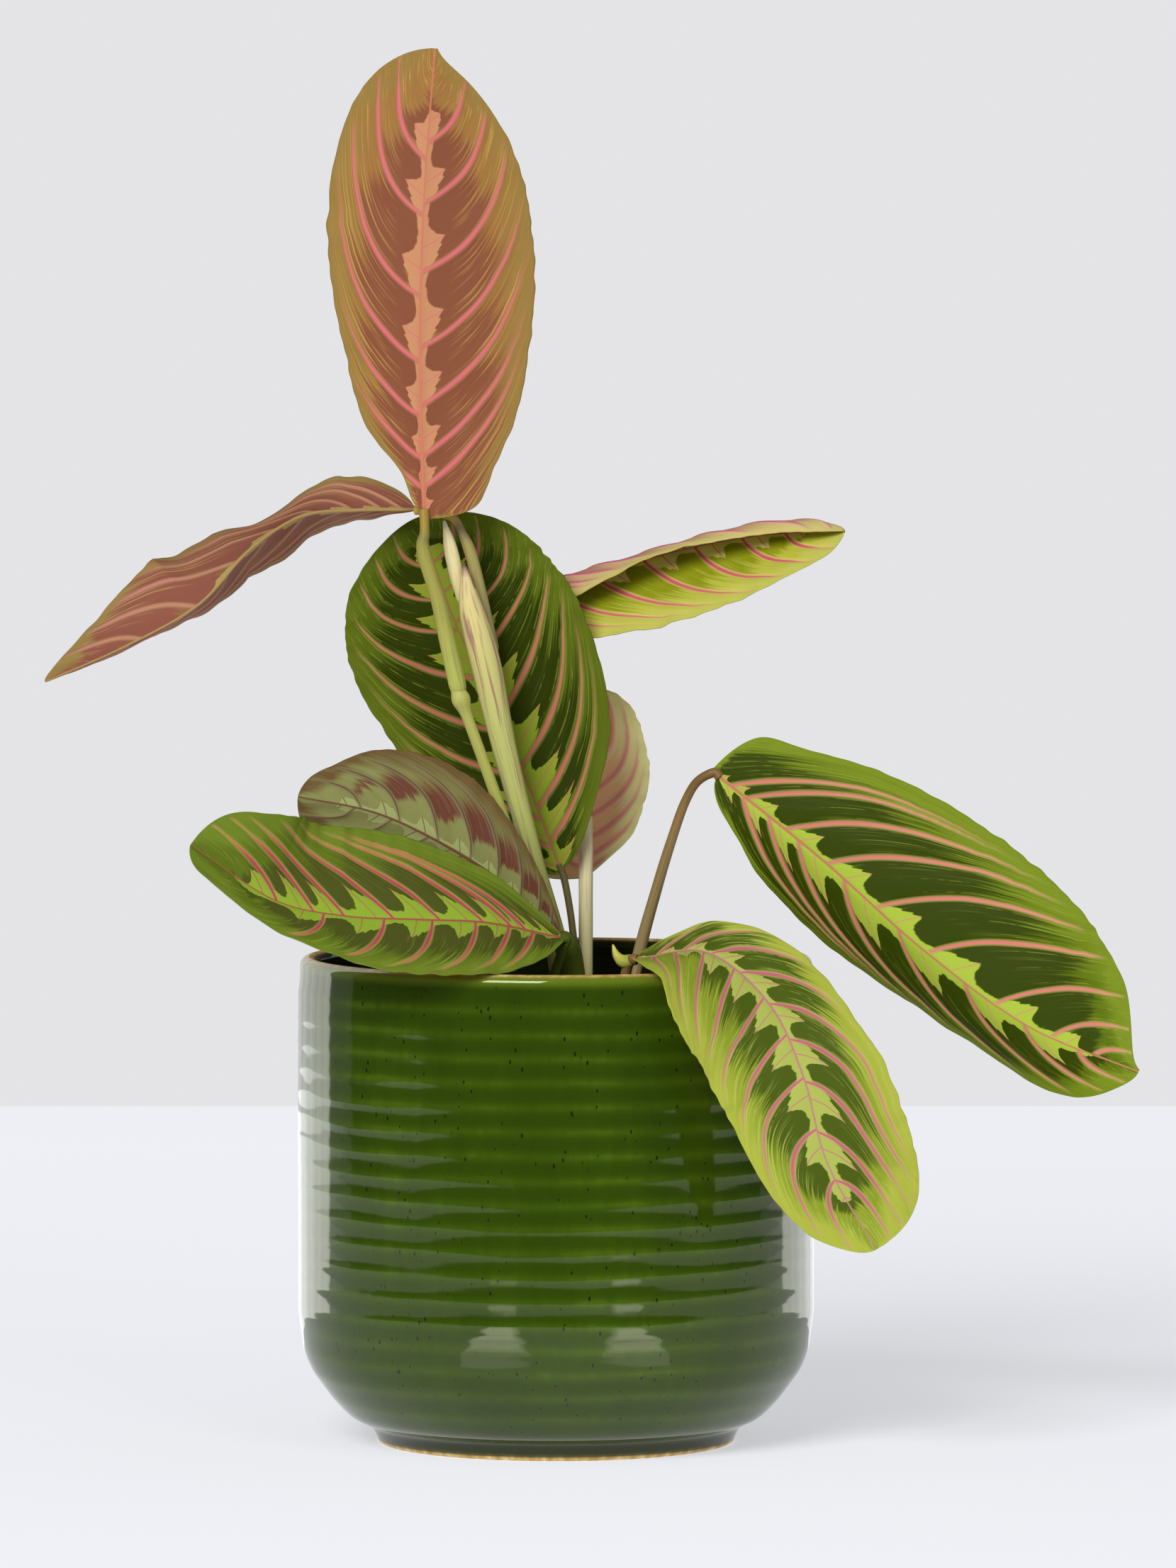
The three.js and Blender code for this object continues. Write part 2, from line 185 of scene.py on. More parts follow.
# how far the pale zone reaches from the midrib, from one lateral vein (0) to the next (1)
LOBES = [
    (0.0, 0.36), (0.06, 0.55), (0.13, 0.70), (0.17, 0.64), (0.24, 0.88), (0.28, 0.82), (0.345, 1.0),
    (0.41, 0.80), (0.47, 0.58), (0.54, 0.38), (0.63, 0.26), (0.78, 0.22), (1.0, 0.34),
]
LOBE_TIP = 0.345  # where between two laterals a thread vein runs to the tip of a lobe
TOOTH = 0.05  # how far the small teeth on a lobe's edge reach
BLOTCH_STEP = 0.24  # the dark blotch's far edge slants this much from one lateral vein to the next
DOTTED_LINES = 3  # rows of pale dots in each field between two laterals
LINE_ZONE = [(0.25, 0.0), (0.5, 0.8), (0.8, 1.0), (0.98, 0.3)]  # how streaks and dots show, midrib to margin
# streaks run beside the lateral veins, so they are drawn in vein count, spread and side. These are
# the scales along those three, the detail and the place of the broad, the fine and the ragged ones.
STREAKS = (((2.6, 1.6, 3.7), 3.0, 1.3), ((17.0, 1.9, 3.7), 2.0, 8.1), ((6.0, 10.0, 3.7), 2.0, 4.9))


def leaf_skin(name, streak_share, tones, blotch_from=0.0, feather=0.1, dots=0.0, vein_scale=1.0):
    """streak_share and dots: how clearly streaks and dots show. tones: the colours of the pale
    zone, the blotch, the blade, its margin, the streaks, the lateral veins, their outer ends,
    their edges and the midrib. blotch_from: where the blotch begins, from the midrib (0) to the
    margin (1). feather: how far its edges are drawn out. vein_scale: how wide the veins are."""
    material, add = new_material(name)
    pale_tone, blotch_tone, blade_tone, margin_tone, streak_tone, vein_tone, end_tone, edge_tone, rib_tone = (
        linear(tone) for tone in tones)
    veins, spread, side, pitch, lobe, rib_mm, rib_half, shown, blotch = (
        add("Attribute", out="Fac", attribute_name=attribute) for attribute in LEAF_LAYERS)
    space = add("CombineXYZ", (veins, spread, side))
    streaks = []
    for scale, detail, seed in STREAKS:
        place = add("Mapping", {"Vector": space, "Location": (0, 0, seed), "Scale": scale})
        shape = {"Vector": place, "Scale": 1.0, "Detail": detail, "Roughness": 0.6}
        streaks.append(add("TexNoise", shape))
    broad, fine, ragged = streaks

    # the lateral veins, with pale edges, and the midrib, by their distances in millimetres
    nearest = add("Math PINGPONG", (veins, 0.5))
    vein_mm = add("Math MULTIPLY", (nearest, pitch))
    widths = add("ValToRGB", (spread,), stops=VEIN_WIDTHS)
    width = add("Math MULTIPLY", (widths, vein_scale))
    off_vein = add("Math SUBTRACT", (vein_mm, width))
    vein = add("MapRange", (off_vein, VEIN_BLUR, -VEIN_BLUR, 0.0, shown), **SOFTLY)
    edge_raw = add("MapRange", (off_vein, *PALE_EDGE, 0.0, 0.7), **SOFTLY)
    edge = add("Math MULTIPLY", (edge_raw, shown))
    off_rib = add("Math SUBTRACT", (rib_mm, rib_half))
    rib = add("MapRange", (off_rib, 0.15, -0.10), **SOFTLY)
    vein_end = add("MapRange", (spread, 0.35, 0.95), **SOFTLY)
    vein_colour = add("Mix", {0: vein_end, 6: vein_tone, 7: end_tone}, **COLOURS)

    # the pale zone, and a thread vein to the tip of each lobe
    field = add("Math FRACT", (veins,))
    profile = add("ValToRGB", (field,), stops=LOBES)
    tooth = add("MapRange", (ragged, 0.3, 0.7, -TOOTH, TOOTH))
    toothed = add("Math ADD", (profile, tooth))
    reach = add("Math MULTIPLY", (toothed, lobe))
    beyond = add("Math SUBTRACT", (spread, reach))
    pale = add("MapRange", (beyond, 0.008, -0.008), **SOFTLY)
    past_tip = add("Math SUBTRACT", (field, LOBE_TIP))
    off_tip = add("Math ABSOLUTE", (past_tip,))
    thread_mm = add("Math MULTIPLY", (off_tip, pitch))
    thread_raw = add("MapRange", (thread_mm, 0.24, 0.06, 0.0, 0.8), **SOFTLY)
    thread = add("Math MULTIPLY", (thread_raw, pale))

    # the dark blotch, whose edges are feathered by streaks
    broad_shift = add("MapRange", (broad, 0.25, 0.75, -feather, feather))
    fine_shift = add("MapRange", (fine, 0.3, 0.7, -feather, feather))
    slant = add("Math MULTIPLY_ADD", (field, BLOTCH_STEP, -BLOTCH_STEP / 2))
    outward = spread
    for shift in (broad_shift, fine_shift, slant):
        outward = add("Math ADD", (outward, shift))
    past_blotch = add("Math SUBTRACT", (outward, blotch))
    blotch_far = add("MapRange", (past_blotch, 0.10, -0.10), **SOFTLY)
    near = (blotch_from - 0.05, blotch_from + 0.03)
    blotched = add("MapRange", (outward, *near, 0.0, blotch_far), **SOFTLY)

    # the lighter margin, pale streaks, and rows of dots beside the lateral veins
    cloud = add("MapRange", (broad, 0.3, 0.7, -0.25, 0.25))
    to_margin = add("MapRange", (spread, 0.55, 0.98), **SOFTLY)
    margin = add("Math ADD", (to_margin, cloud), use_clamp=True)
    zone = add("ValToRGB", (spread,), stops=LINE_ZONE)
    streak_raw = add("MapRange", (fine, 0.52, 0.68, 0.0, streak_share), **SOFTLY)
    streak = add("Math MULTIPLY", (streak_raw, zone))
    row = add("Math MULTIPLY_ADD", (veins, DOTTED_LINES, 0.5))
    off_row = add("Math PINGPONG", (row, 0.5))
    row_pitch = add("Math DIVIDE", (pitch, DOTTED_LINES))
    row_mm = add("Math MULTIPLY", (off_row, row_pitch))
    dot_row = add("MapRange", (row_mm, 0.22, 0.06, 0.0, zone), **SOFTLY)
    gaps = add("MapRange", (ragged, 0.42, 0.56, 0.0, dots), **SOFTLY)
    dot = add("Math MULTIPLY", (dot_row, gaps))

    colour = blade_tone
    for share, above in ((margin, margin_tone), (blotched, blotch_tone), (streak, streak_tone),
                         (dot, streak_tone), (pale, pale_tone), (thread, vein_tone), (edge, edge_tone),
                         (vein, vein_colour), (rib, rib_tone)):
        colour = add("Mix", {0: share, 6: colour, 7: above}, **COLOURS)

    # surface cells 0.7 mm across, drawn coarser than the real ones so that they show
    place = add("TexCoord", out="Object")
    cells = add("TexNoise", {"Vector": place, "Scale": 1 / (0.7 * MM), "Detail": 2.0})
    relief = add("Math MULTIPLY_ADD", (fine, 1.6, cells))
    gloss = add("MapRange", (broad, 0.3, 0.7, *LEAF_ROUGHNESS))
    return finish_material(material, colour, gloss, relief, strength=0.35, depth=0.12,
                           shader={"IOR": LEAF_IOR, "Specular IOR Level": LEAF_SHINE})


upper_deep = leaf_skin("deep_green_leaf", streak_share=0.1, dots=0.45, tones=(
    "#8c9e2c", "#2e3904", "#4c5c12", "#5c6b16", "#9aa83c", "#b86a5a", "#b5825a", "#7c8034", "#a0764a"))
upper_bright = leaf_skin("bright_green_leaf", streak_share=0.2, dots=0.35, tones=(
    "#aac040", "#364404", "#586c0a", "#788b1e", "#a3ae40", "#d87c74", "#d8907a", "#a8a050", "#c0805e"))
upper_yellow = leaf_skin("yellow_green_leaf", streak_share=0.7, dots=0.4, vein_scale=0.85, tones=(
    "#a8b454", "#4a5a16", "#86962a", "#a8b040", "#b4c058", "#c4607a", "#c88478", "#b4a860", "#b8807a"))
# the blotch tone is partly the leaf's own dark green and partly painted sheen: greyed and lightened to stand
# for the reflection on the leaf's lower half
upper_lower = leaf_skin("low_green_leaf_painted_sheen", streak_share=0.4, tones=(
    "#92b036", "#505620", "#5e701e", "#708428", "#94a83c", "#b84858", "#c8805c", "#a89c50", "#a8584a"))
upper_rolled = leaf_skin("young_yellow_leaf", streak_share=0.5, tones=(
    "#d8cc74", "#8a9016", "#b4b63c", "#c2c05a", "#ccd070", "#cc5870", "#d07a70", "#d8bc70", "#c2607a"))
under_rose = leaf_skin("rose_brown_underside", streak_share=0.8, vein_scale=0.9, tones=(
    "#cc9068", "#8c543c", "#a2753f", "#9a7c40", "#c69e54", "#dc6f78", "#d0786c", "#b57a58", "#cd7c62"))
under_olive = leaf_skin("olive_brown_underside", streak_share=0.8, tones=(
    "#b2a45a", "#925848", "#946848", "#988048", "#b89a5a", "#c08468", "#c87a7c", "#a88660", "#b0905a"))
under_grey = leaf_skin(
    "grey_green_underside", streak_share=0.25, blotch_from=0.36, feather=0.05, vein_scale=0.35, tones=(
    "#989f63", "#6a3e30", "#84864e", "#68502e", "#93a070", "#6a4436", "#6a4a3a", "#7c7a52", "#6e4a34"))
under_pink = leaf_skin("pink_underside", streak_share=0.4, tones=(
    "#d8b088", "#c08870", "#c89875", "#c8bc70", "#d8b890", "#c06078", "#c27078", "#cc9c88", "#c4707a"))
# painted light: the back leaf's underside tones are brightened past its own colour, to stand for light
# shining through the thin leaf and to lift the centre leaf's shadow on it
under_back_painted_light = leaf_skin("buff_underside_painted_light", streak_share=0.6, tones=(
    "#f4e4b0", "#fac490", "#f0e0a0", "#e4e498", "#f0e8a8", "#f0988c", "#e8a490", "#e0c090", "#e89c90"))

# ---- blades
# A blade is a sheet bent over its midrib, as its CAD solid is. spine: points of the midrib
# from base to tip. face: the way the upper surface looks. For the left and right half, seen
# from above with the tip up: widths, the half widths at rows that lie closer together at both
# ends; lift, the degrees by which the half rises out of the blade's plane at each spine point;
# curl, the degrees by which it bends on before its margin; laterals, where along the midrib
# the lateral veins leave it; lobe and blotch, how far the pale zone's lobes and the dark blotch
# reach from base to tip, as shares of the half width; bend, the share of the blade in which a
# vein turns to run with the midrib; auricle, how far the half reaches back past the midrib's
# base. rib is the midrib's half width at its base, and skins are the upper and the under side.
BLADE_ACROSS = 120
BLADE_ALONG = 270
SKIN_THICKNESS = 0.3
BLADE_END = 0.8  # least half width, at both ends
VEIN_REACH, VEIN_TAPER = 1.12, 1.35  # where across the blade a vein ends, and how that falls to the tip
PUFF = 0.42  # how high the blade stands between two lateral veins
VEIN_GROOVE = 0.22
RIB_GROOVE = 0.35
MARGIN_WAVE = 0.9
MARGIN_NICK = 0.02  # how far the margin wanders in and out, as a share of the half width
VEIN_WANDER = 0.05  # how far a vein wanders, as a share of the way to the next
AWAY, TOWARD = Vector((0, 1, 0)), Vector((0, -1, 0))
COMMON = dict(  # what a leaf has unless its own entry says otherwise
    laterals=((0.04, 0.10, 0.185, 0.29, 0.41, 0.54, 0.67, 0.80),
              (0.05, 0.12, 0.21, 0.32, 0.44, 0.57, 0.70, 0.82)),
    blotch=((0.60, 0.62, 0.62, 0.60, 0.45, -0.2),) * 2,
    curl=((0, 0), (0, 0)), auricle=(0, 0), bend=(0.2, 0.2), rib=0.45,
    skins=(upper_deep, under_rose), slot="leaf_upper")

LEAVES = dict(
    top=dict(
        spine=points((-37, -12, 263.5), (-38, -6, 295.5), (-38, -1, 328.5), (-36.5, 3, 361), (-34, 6, 393)),
        face=AWAY,
        widths=((0, 14.5, 20.3, 27, 30.8, 32.4, 30.2, 24.3, 14.1, 3.2, 0),
                (0, 3.6, 7.5, 18.6, 23.8, 27.8, 29.3, 26.8, 21.2, 11.4, 0)),
        lift=((10, 10, 8, 8, 10), (30, 30, 24, 22, 20)), auricle=(2.3, 0),
        lobe=((0.2, 0.21, 0.2, 0.2, 0.15), (0.22, 0.23, 0.22, 0.2, 0.15)),
        blotch=((0.92, 0.82, 0.64, 0.62, 0.42, -0.2), (0.80, 0.74, 0.70, 0.64, 0.42, -0.2)),
        laterals=((0.052, 0.12, 0.226, 0.351, 0.511, 0.664, 0.793),
                  (0.05, 0.114, 0.207, 0.325, 0.462, 0.634, 0.757)), slot="leaf_underside"),
    left=dict(
        spine=points((-39.5, -4, 263.5), (-55.5, -8, 263.5), (-71.5, -12, 262), (-86, -17, 252.5),
                     (-100, -22, 237.5), (-120.5, -26, 226), (-142.5, -30, 216.5)),
        face=Vector((0, 1, 0.1)),
        widths=((0, 7.4, 14.5, 20.3, 23.9, 25, 23.8, 19, 11, 4, 0),) * 2,
        lift=((60, 66, 89, 71, 46, 53, 60), (76, 71, 61, 72, 80, 81, 80)), rib=0.7,
        lobe=((0.12, 0.14, 0.14, 0.0, 0.0),) * 2, blotch=((0.75, 0.8, 0.8, 0.85, 0.85, 0.5),) * 2,
        skins=(upper_deep, under_olive), slot="leaf_underside"),
    centre=dict(
        spine=points((0.8, 12, 162), (-12, 14, 195), (-26, 14, 225), (-33, 14, 243), (-38.5, 12, 261)),
        face=TOWARD,
        widths=((0, 7, 16, 26, 30, 32.6, 31, 26.3, 17.2, 8, 0),
                (0, 7, 16, 27, 33, 34.5, 32, 28.4, 22, 12, 0)),
        lift=((10, 8, 8, 8, 8), (8, 6, 6, 6, 8)), auricle=(2.2, 1.0),
        lobe=((0.85, 0.36, 0.34, 0.32, 0.3), (0.85, 0.42, 0.38, 0.34, 0.3)),
        blotch=((0.70, 0.72, 0.72, 0.70, 0.6, 0.2),) * 2),
    rolled=dict(
        spine=points((-16, 40, 231.5), (3, 36, 241), (31.5, 28, 250), (58, 18, 255.5), (81.5, 8, 257)),
        face=Vector((0, -0.75, 0.65)),
        widths=((0, 7.9, 14.9, 19, 18, 16, 14.5, 13, 11, 6, 0),
                (0, 8.2, 15.5, 21, 24.2, 26, 24.2, 20.5, 14.4, 8.5, 0)),
        lift=((80, 88, 102, 68, 30), (10, 5, 0, 0, 5)), curl=((130, 120, 58, 126, 200), (0, 0)),
        lobe=((0.3, 0.3), (0.3, 0.28)), skins=(upper_rolled, under_pink)),
    back=dict(
        spine=points((8.3, 36, 157), (7, 42, 175.5), (4.5, 46, 192.5), (-1, 50, 208.5)),
        face=AWAY,
        widths=((0, 2, 7, 14, 18.2, 21, 21, 20.2, 16.5, 10, 0),
                (0, 11, 16.5, 19, 20, 20, 18.9, 16, 11, 6, 0)),
        lift=((10, 10), (15, 15)), lobe=((0.25, 0.25),) * 2,
        skins=(upper_deep, under_back_painted_light), slot="leaf_underside"),
    lower_left=dict(
        spine=points((2, -40, 145.5), (-18.5, -50, 150.5), (-38, -58, 152), (-58.5, -65, 153.5),
                     (-78, -71, 158.5), (-100.5, -77, 174)),
        face=Vector((0, -0.6, 0.8)),
        widths=((0, 5, 14, 21.5, 23.8, 22.9, 17.5, 11.5, 8, 6.5, 0),
                (0, 3.5, 11.2, 19.2, 25, 28, 27, 26, 20, 12.2, 0)),
        lift=((6, 0, 0, 0, 0, 0), (15, 17, 21, 24, 30, 45)), bend=(0.1, 0.3),
        lobe=((0.3, 0.36, 0.36, 0.3), (0.6, 0.36, 0.34, 0.28)),
        laterals=((0.08, 0.146, 0.238, 0.361, 0.492, 0.66),
                  (0.10, 0.138, 0.215, 0.338, 0.469, 0.60, 0.685, 0.79)),
        skins=(upper_lower, under_rose)),
    underside=dict(
        spine=points((1, -26, 145), (-14, -31, 159.5), (-30, -34, 170.5), (-50, -34, 180), (-72, -32, 184.5)),
        face=Vector((0, 1, 0.2)),
        widths=((0, 2.5, 5.8, 10.1, 15, 19.8, 20.8, 17.5, 11, 6, 0),
                (0, 7.9, 14.9, 20.1, 23.2, 24, 22.6, 19.5, 14.5, 9.5, 0)),
        lift=((32, 25, 25, 25, 25), (25, 25)), lobe=((0.22, 0.2),) * 2,
        blotch=((0.68, 0.70, 0.70, 0.66, 0.5, -0.2), (-1, -1)),
        skins=(upper_deep, under_grey), slot="leaf_underside"),
    right=dict(
        spine=points((45.5, -10, 189), (75, -17, 165.5), (103, -26, 141), (132, -37, 120.5), (162, -50, 109)),
        face=Vector((0, -1, 0.15)),
        widths=((0, 15.1, 21.1, 28.4, 35, 38, 36.8, 32, 22, 4, 0),
                (0, 5.5, 10.5, 18.5, 24, 23.5, 21.5, 18.6, 12.5, 5.5, 0)),
        lift=((0, 5, 5, 5, 0), (0, -25, -42, -38, -5)), curl=((0, 0), (0, -30, -30, -30, 0)),
        auricle=(2.3, 0), bend=(0.26, 0.22),
        lobe=((0.16, 0.18, 0.18, 0.16), (0.5, 0.42, 0.4, 0.3)),
        blotch=((0.70, 0.74, 0.74, 0.70, 0.6, 0.2), (0.9, 0.9, 0.85, 0.8, 0.7, 0.2)),
        laterals=((0.03, 0.068, 0.16, 0.255, 0.378, 0.51, 0.667, 0.80, 0.90),
                  (0.06, 0.12, 0.19, 0.30, 0.44, 0.60, 0.74, 0.86)),
        skins=(upper_bright, under_rose)),
    front=dict(
        spine=points((22, -50, 140.5), (42, -60, 143), (59, -69, 129.5), (68.5, -75, 109.5), (75, -76, 86),
                     (88.5, -72, 61.5)),
        face=points((0, -0.3, 1), (0, -0.5, 0.9), (0.2, -1, 0.6), (0, -1, 0.1), TOWARD, TOWARD),
        widths=((0, 4, 8, 12.8, 16.8, 19, 23.2, 24.6, 21.5, 13.5, 0),
                (0, 5, 15, 24, 27.5, 25.5, 23, 18.5, 14, 6.5, 0)),
        lift=((20, 15, 5, 0, 0, 0), (9, 4, 0, 0, 0, 0)), bend=(0.22, 0.14),
        lobe=((0.2, 0.32, 0.34, 0.32, 0.2), (0.2, 0.3, 0.32, 0.3, 0.2)),
        blotch=((0.8, 0.85, 0.74, 0.62, 0.56, 0.1), (-0.2, 0.25, 0.5, 0.58, 0.56, 0.1)),
        laterals=((0.06, 0.13, 0.21, 0.30, 0.40, 0.50, 0.61, 0.73, 0.84),
                  (0.05, 0.11, 0.19, 0.28, 0.38, 0.49, 0.60, 0.72, 0.84)),
        skins=(upper_yellow, under_rose)),
)
LEAVES = {name: COMMON | leaf for name, leaf in LEAVES.items()}


def half_width(leaf, side, v):
    """The half width at v along the blade; the widths' rows lie closer together at both ends."""
    return max(along_curve(leaf["widths"][side], acos(1 - 2 * v) / pi), BLADE_END)


def blade_frame(leaf, v):
    """The midrib's point at v, its direction, and the blade's normal and crossways there."""
    spine, face = leaf["spine"], leaf["face"]
    step = 1e-3
    along = (along_curve(spine, min(v + step, 1)) - along_curve(spine, max(v - step, 0))).normalized()
    looks = along_curve(face, v) if isinstance(face, list) else face
    normal = (looks - along * looks.dot(along)).normalized()
    return along_curve(spine, v), along, normal, along.cross(normal)


def vein_line(start, v, bend):
    """How far from the midrib, of the greatest half width, a lateral vein that leaves it at
    start has come at v, and how that changes with v."""
    c = min(max(start, 0.0), 0.999)
    reach = VEIN_REACH * (1 - c * c) ** VEIN_TAPER
    left = exp((start - v) / (bend * (1 - c)))
    return reach * (1 - left), reach * left / (bend * (1 - c))


def vein_start(across, v, bend):
    """Where the lateral vein through a point would leave the midrib: below 0 is before its base."""
    low, high = -1.0, v
    for _ in range(20):
        start = (low + high) / 2
        if vein_line(start, v, bend)[0] > across:
            low = start
        else:
            high = start
    return high


def vein_number(laterals, start):
    """The lateral vein that leaves the midrib at start, counted from 0, and the change with start."""
    i = min(max(bisect(laterals, start) - 1, 0), len(laterals) - 2)
    slope = 1 / (laterals[i + 1] - laterals[i])
    return i + (start - laterals[i]) * slope, slope


def veins_at(leaf, side, across, v, length):
    """How many lateral veins leave the midrib before the one through this point, and the
    distance in millimetres from one vein to the next here."""
    bend = leaf["bend"][side]
    start = vein_start(across, v, bend)
    number, slope = vein_number(leaf["laterals"][side], start)
    step = 1e-3
    line, per_v = vein_line(start, v, bend)
    per_start = max((vein_line(start - step, v, bend)[0] - line) / step, 1e-4)
    rate = slope / per_start * hypot(1 / max(leaf["widths"][side]), per_v / length)
    return number, 1 / rate


def blade_row(leaf, v):
    """What is the same all across a blade at v."""
    row = dict(zip(("origin", "along", "normal", "across"), blade_frame(leaf, v)))
    for key in ("lift", "curl"):
        row[key] = [radians(along_curve(leaf[key][side], v)) for side in (0, 1)]
    row["width"] = [half_width(leaf, side, v) for side in (0, 1)]
    row["back"] = [leaf["auricle"][side] * blend_in(0.12, 0.0, v) for side in (0, 1)]
    return row


def blade_point(row, side, s, rise):
    lift, curl, width = row["lift"][side], row["curl"][side], row["width"][side]
    out, up = s * cos(lift), s * sin(lift)
    if abs(curl) > 1e-4:
        out = (sin(lift + curl * s) - sin(lift)) / curl
        up = (cos(lift) - cos(lift + curl * s)) / curl
    tilt = lift + curl * s if s else 0.0
    outward = row["across"] * (1 if side else -1)
    return (row["origin"] + outward * (width * out - rise * sin(tilt))
            + row["normal"] * (width * up + rise * cos(tilt)) - row["along"] * row["back"][side] * s**2)


def make_blade(name, leaf, number):
    length = path_length([along_curve(leaf["spine"], i / 60) for i in range(61)])
    sheet = bmesh.new()
    bmesh.ops.create_grid(sheet, x_segments=BLADE_ACROSS, y_segments=BLADE_ALONG, size=1)
    edge = max(vert.co.x for vert in sheet.verts)
    layers = [sheet.verts.layers.float.new(key) for key in LEAF_LAYERS]
    rows = {}
    for vert in sheet.verts:
        u, y = vert.co.x / edge, vert.co.y / edge
        key = round(y, 5)
        v = (1 - cos(pi * (y + 1) / 2)) / 2
        if key not in rows:
            rows[key] = blade_row(leaf, v)
        row = rows[key]
        side = 0 if u < 0 else 1
        s = abs(u)
        share = row["width"][side] / max(leaf["widths"][side])
        veins, pitch = veins_at(leaf, side, s * share, v, length)
        veins += VEIN_WANDER * noise.noise(Vector((v * 5, s * 2.5 + side * 20, number * 11)))
        last = len(leaf["laterals"][side]) - 1
        shown = blend_in(-0.5, -0.2, veins) * blend_in(last + 0.6, last + 0.4, veins)
        shown *= blend_in(0.97, 0.78, s)
        field = veins % 1
        from_vein = min(field, 1 - field)
        held = min(1.0, 1.6 * share) * blend_in(0, 0.2, s)  # the blade is flat at its midrib and ends
        arch = 1 - (1 - 2 * from_vein) ** 2
        puff = PUFF * (arch - 0.5) * held * blend_in(1.0, 0.7, s) * min(1.0, pitch / 5)
        groove = VEIN_GROOVE * exp(-(from_vein * pitch / 0.55) ** 2) * held * shown
        rib = RIB_GROOVE * exp(-(s * row["width"][side] / 0.9) ** 2) * (1 - v) * blend_in(0, 0.05, v)
        ripple = noise.noise(Vector((v * 16, side * 9, number * 7)))
        wave = MARGIN_WAVE * s**3 * ripple * min(1.0, 1.5 * share)
        crossways = s * (1 + MARGIN_NICK * noise.noise(Vector((v * 30, side * 5, number * 3))) * s**3)
        vert.co = blade_point(row, side, crossways, puff - groove - rib + wave)
        spread = s + 0.5 * blend_in(0.84, 0.97, v)
        lobe = along_curve(leaf["lobe"][side], v) * blend_in(1.0, 0.86, v)
        values = (veins, spread, side + number * 2.0, pitch, lobe, s * row["width"][side],
                  leaf["rib"] * (1 - 0.67 * v), shown, along_curve(leaf["blotch"][side], v))
        for layer, value in zip(layers, values):
            vert[layer] = value
    upper, under = leaf["skins"]
    piece = finish_piece(sheet, "blade_" + name, "leaf_" + name, leaf["slot"], upper, under)
    skin = piece.modifiers.new("skin", "SOLIDIFY")
    skin.thickness = SKIN_THICKNESS * MM
    skin.offset = 0
    skin.material_offset = 1


for number, (name, leaf) in enumerate(LEAVES.items()):
    make_blade(name, leaf, number)


# ---- stems
# Petiole and shoot skin: smooth and faintly waxy. The eye gets a colour that changes from foot
# to top, and thin darker lines that run along the stem.
STEM_LAYERS = ("along", "around")
STEM_SHINE = 0.3
STEM_ROUGHNESS = (0.34, 0.48)


def stem_skin(name, tones, line, line_share=0.4):
    material, add = new_material(name)
    along, around = (add("Attribute", out="Fac", attribute_name=attribute) for attribute in STEM_LAYERS)
    turn = add("Math MULTIPLY", (around, 2 * pi))
    x = add("Math COSINE", (turn,))
    y = add("Math SINE", (turn,))
    z = add("Math MULTIPLY", (along, 1.5))
    place = add("CombineXYZ", (x, y, z))
    lines = add("TexNoise", {"Vector": place, "Scale": 3.0, "Detail": 3.0, "Roughness": 0.65})
    mask = add("MapRange", (lines, 0.5, 0.68, 0.0, line_share), **SOFTLY)
    body = add("ValToRGB", (along,), stops=tones)
    lined = add("Mix", {0: mask, 6: body, 7: linear(line)}, **COLOURS)
    gloss = add("MapRange", (lines, 0.3, 0.7, *STEM_ROUGHNESS))
    return finish_material(material, lined, gloss, lines, strength=0.25, depth=0.15,
                           shader={"IOR": LEAF_IOR, "Specular IOR Level": STEM_SHINE})


STEM_ROUND = 24
STEM_BASE = 106  # the height at which the rooted stems end in the potting mix
GAP = 0.3
KNOB_PLACE = Vector((-26.7, -12, 210.6))
KNOB_RADIUS = 2.7


def make_stem(name, skin, slot, radii, *path, pulvinus=0.0, overlap=0.0, swell=None):
    """A stem along a path, with rounded ends and radii spread evenly along it. A petiole is named
    for its leaf and goes on in line with the midrib, a pulvinus long. overlap is the step of a
    sheath's free edge, as a share of the radius, and swell a place with its swollen radius."""
    path = points(*path)
    leaf = LEAVES.get(name.removeprefix("petiole_"))
    if leaf:
        origin, along, normal, _ = blade_frame(leaf, 0.0)
        below = normal * -0.4
        path += [origin - along * pulvinus + below, origin + along * 0.8 + below]
    length = path_length(path)
    rows = max(24, int(length / 0.7))
    stem = bmesh.new()
    bmesh.ops.create_grid(stem, x_segments=STEM_ROUND, y_segments=rows, size=1)
    reach = max(vert.co.x for vert in stem.verts)
    layers = [stem.verts.layers.float.new(key) for key in STEM_LAYERS]
    rings, first, before = {}, None, None
    for key in sorted({round(vert.co.y / reach, 5) for vert in stem.verts}):
        t = (key + 1) / 2
        centre = along_curve(path, t)
        axis = (along_curve(path, min(t + 1e-3, 1)) - along_curve(path, max(t - 1e-3, 0))).normalized()
        if first is None:
            first = axis.cross(Vector((0, 1, 0))).normalized()
        else:
            first.rotate(before.rotation_difference(axis))
        before = axis
        wide = along_curve(radii, t)
        if swell:
            place, most = swell
            wide += (most - wide) * exp(-(centre - place).length_squared / most**2)
        end = min(t, 1 - t) * length
        wide *= sqrt(max(0.0, 1 - (1 - min(1.0, end / wide)) ** 2))
        rings[key] = (t, centre, wide, first.copy(), axis.cross(first).normalized())
    for vert in stem.verts:
        t, centre, wide, first, second = rings[round(vert.co.y / reach, 5)]
        turn = (vert.co.x / reach + 1) / 2
        angle = 2 * pi * turn
        wide *= 1 + overlap * ((turn + 0.6 * t) % 1.0) + 0.03 * noise.noise(Vector((t * 9, radii[0], 0)))
        vert.co = centre + (first * cos(angle) + second * sin(angle)) * wide
        for layer, value in zip(layers, (t, turn)):
            vert[layer] = value
    bmesh.ops.remove_doubles(stem, verts=stem.verts, dist=1e-4)
    bmesh.ops.recalc_face_normals(stem, faces=stem.faces)
    finish_piece(stem, name + "_skin", name, slot, skin)


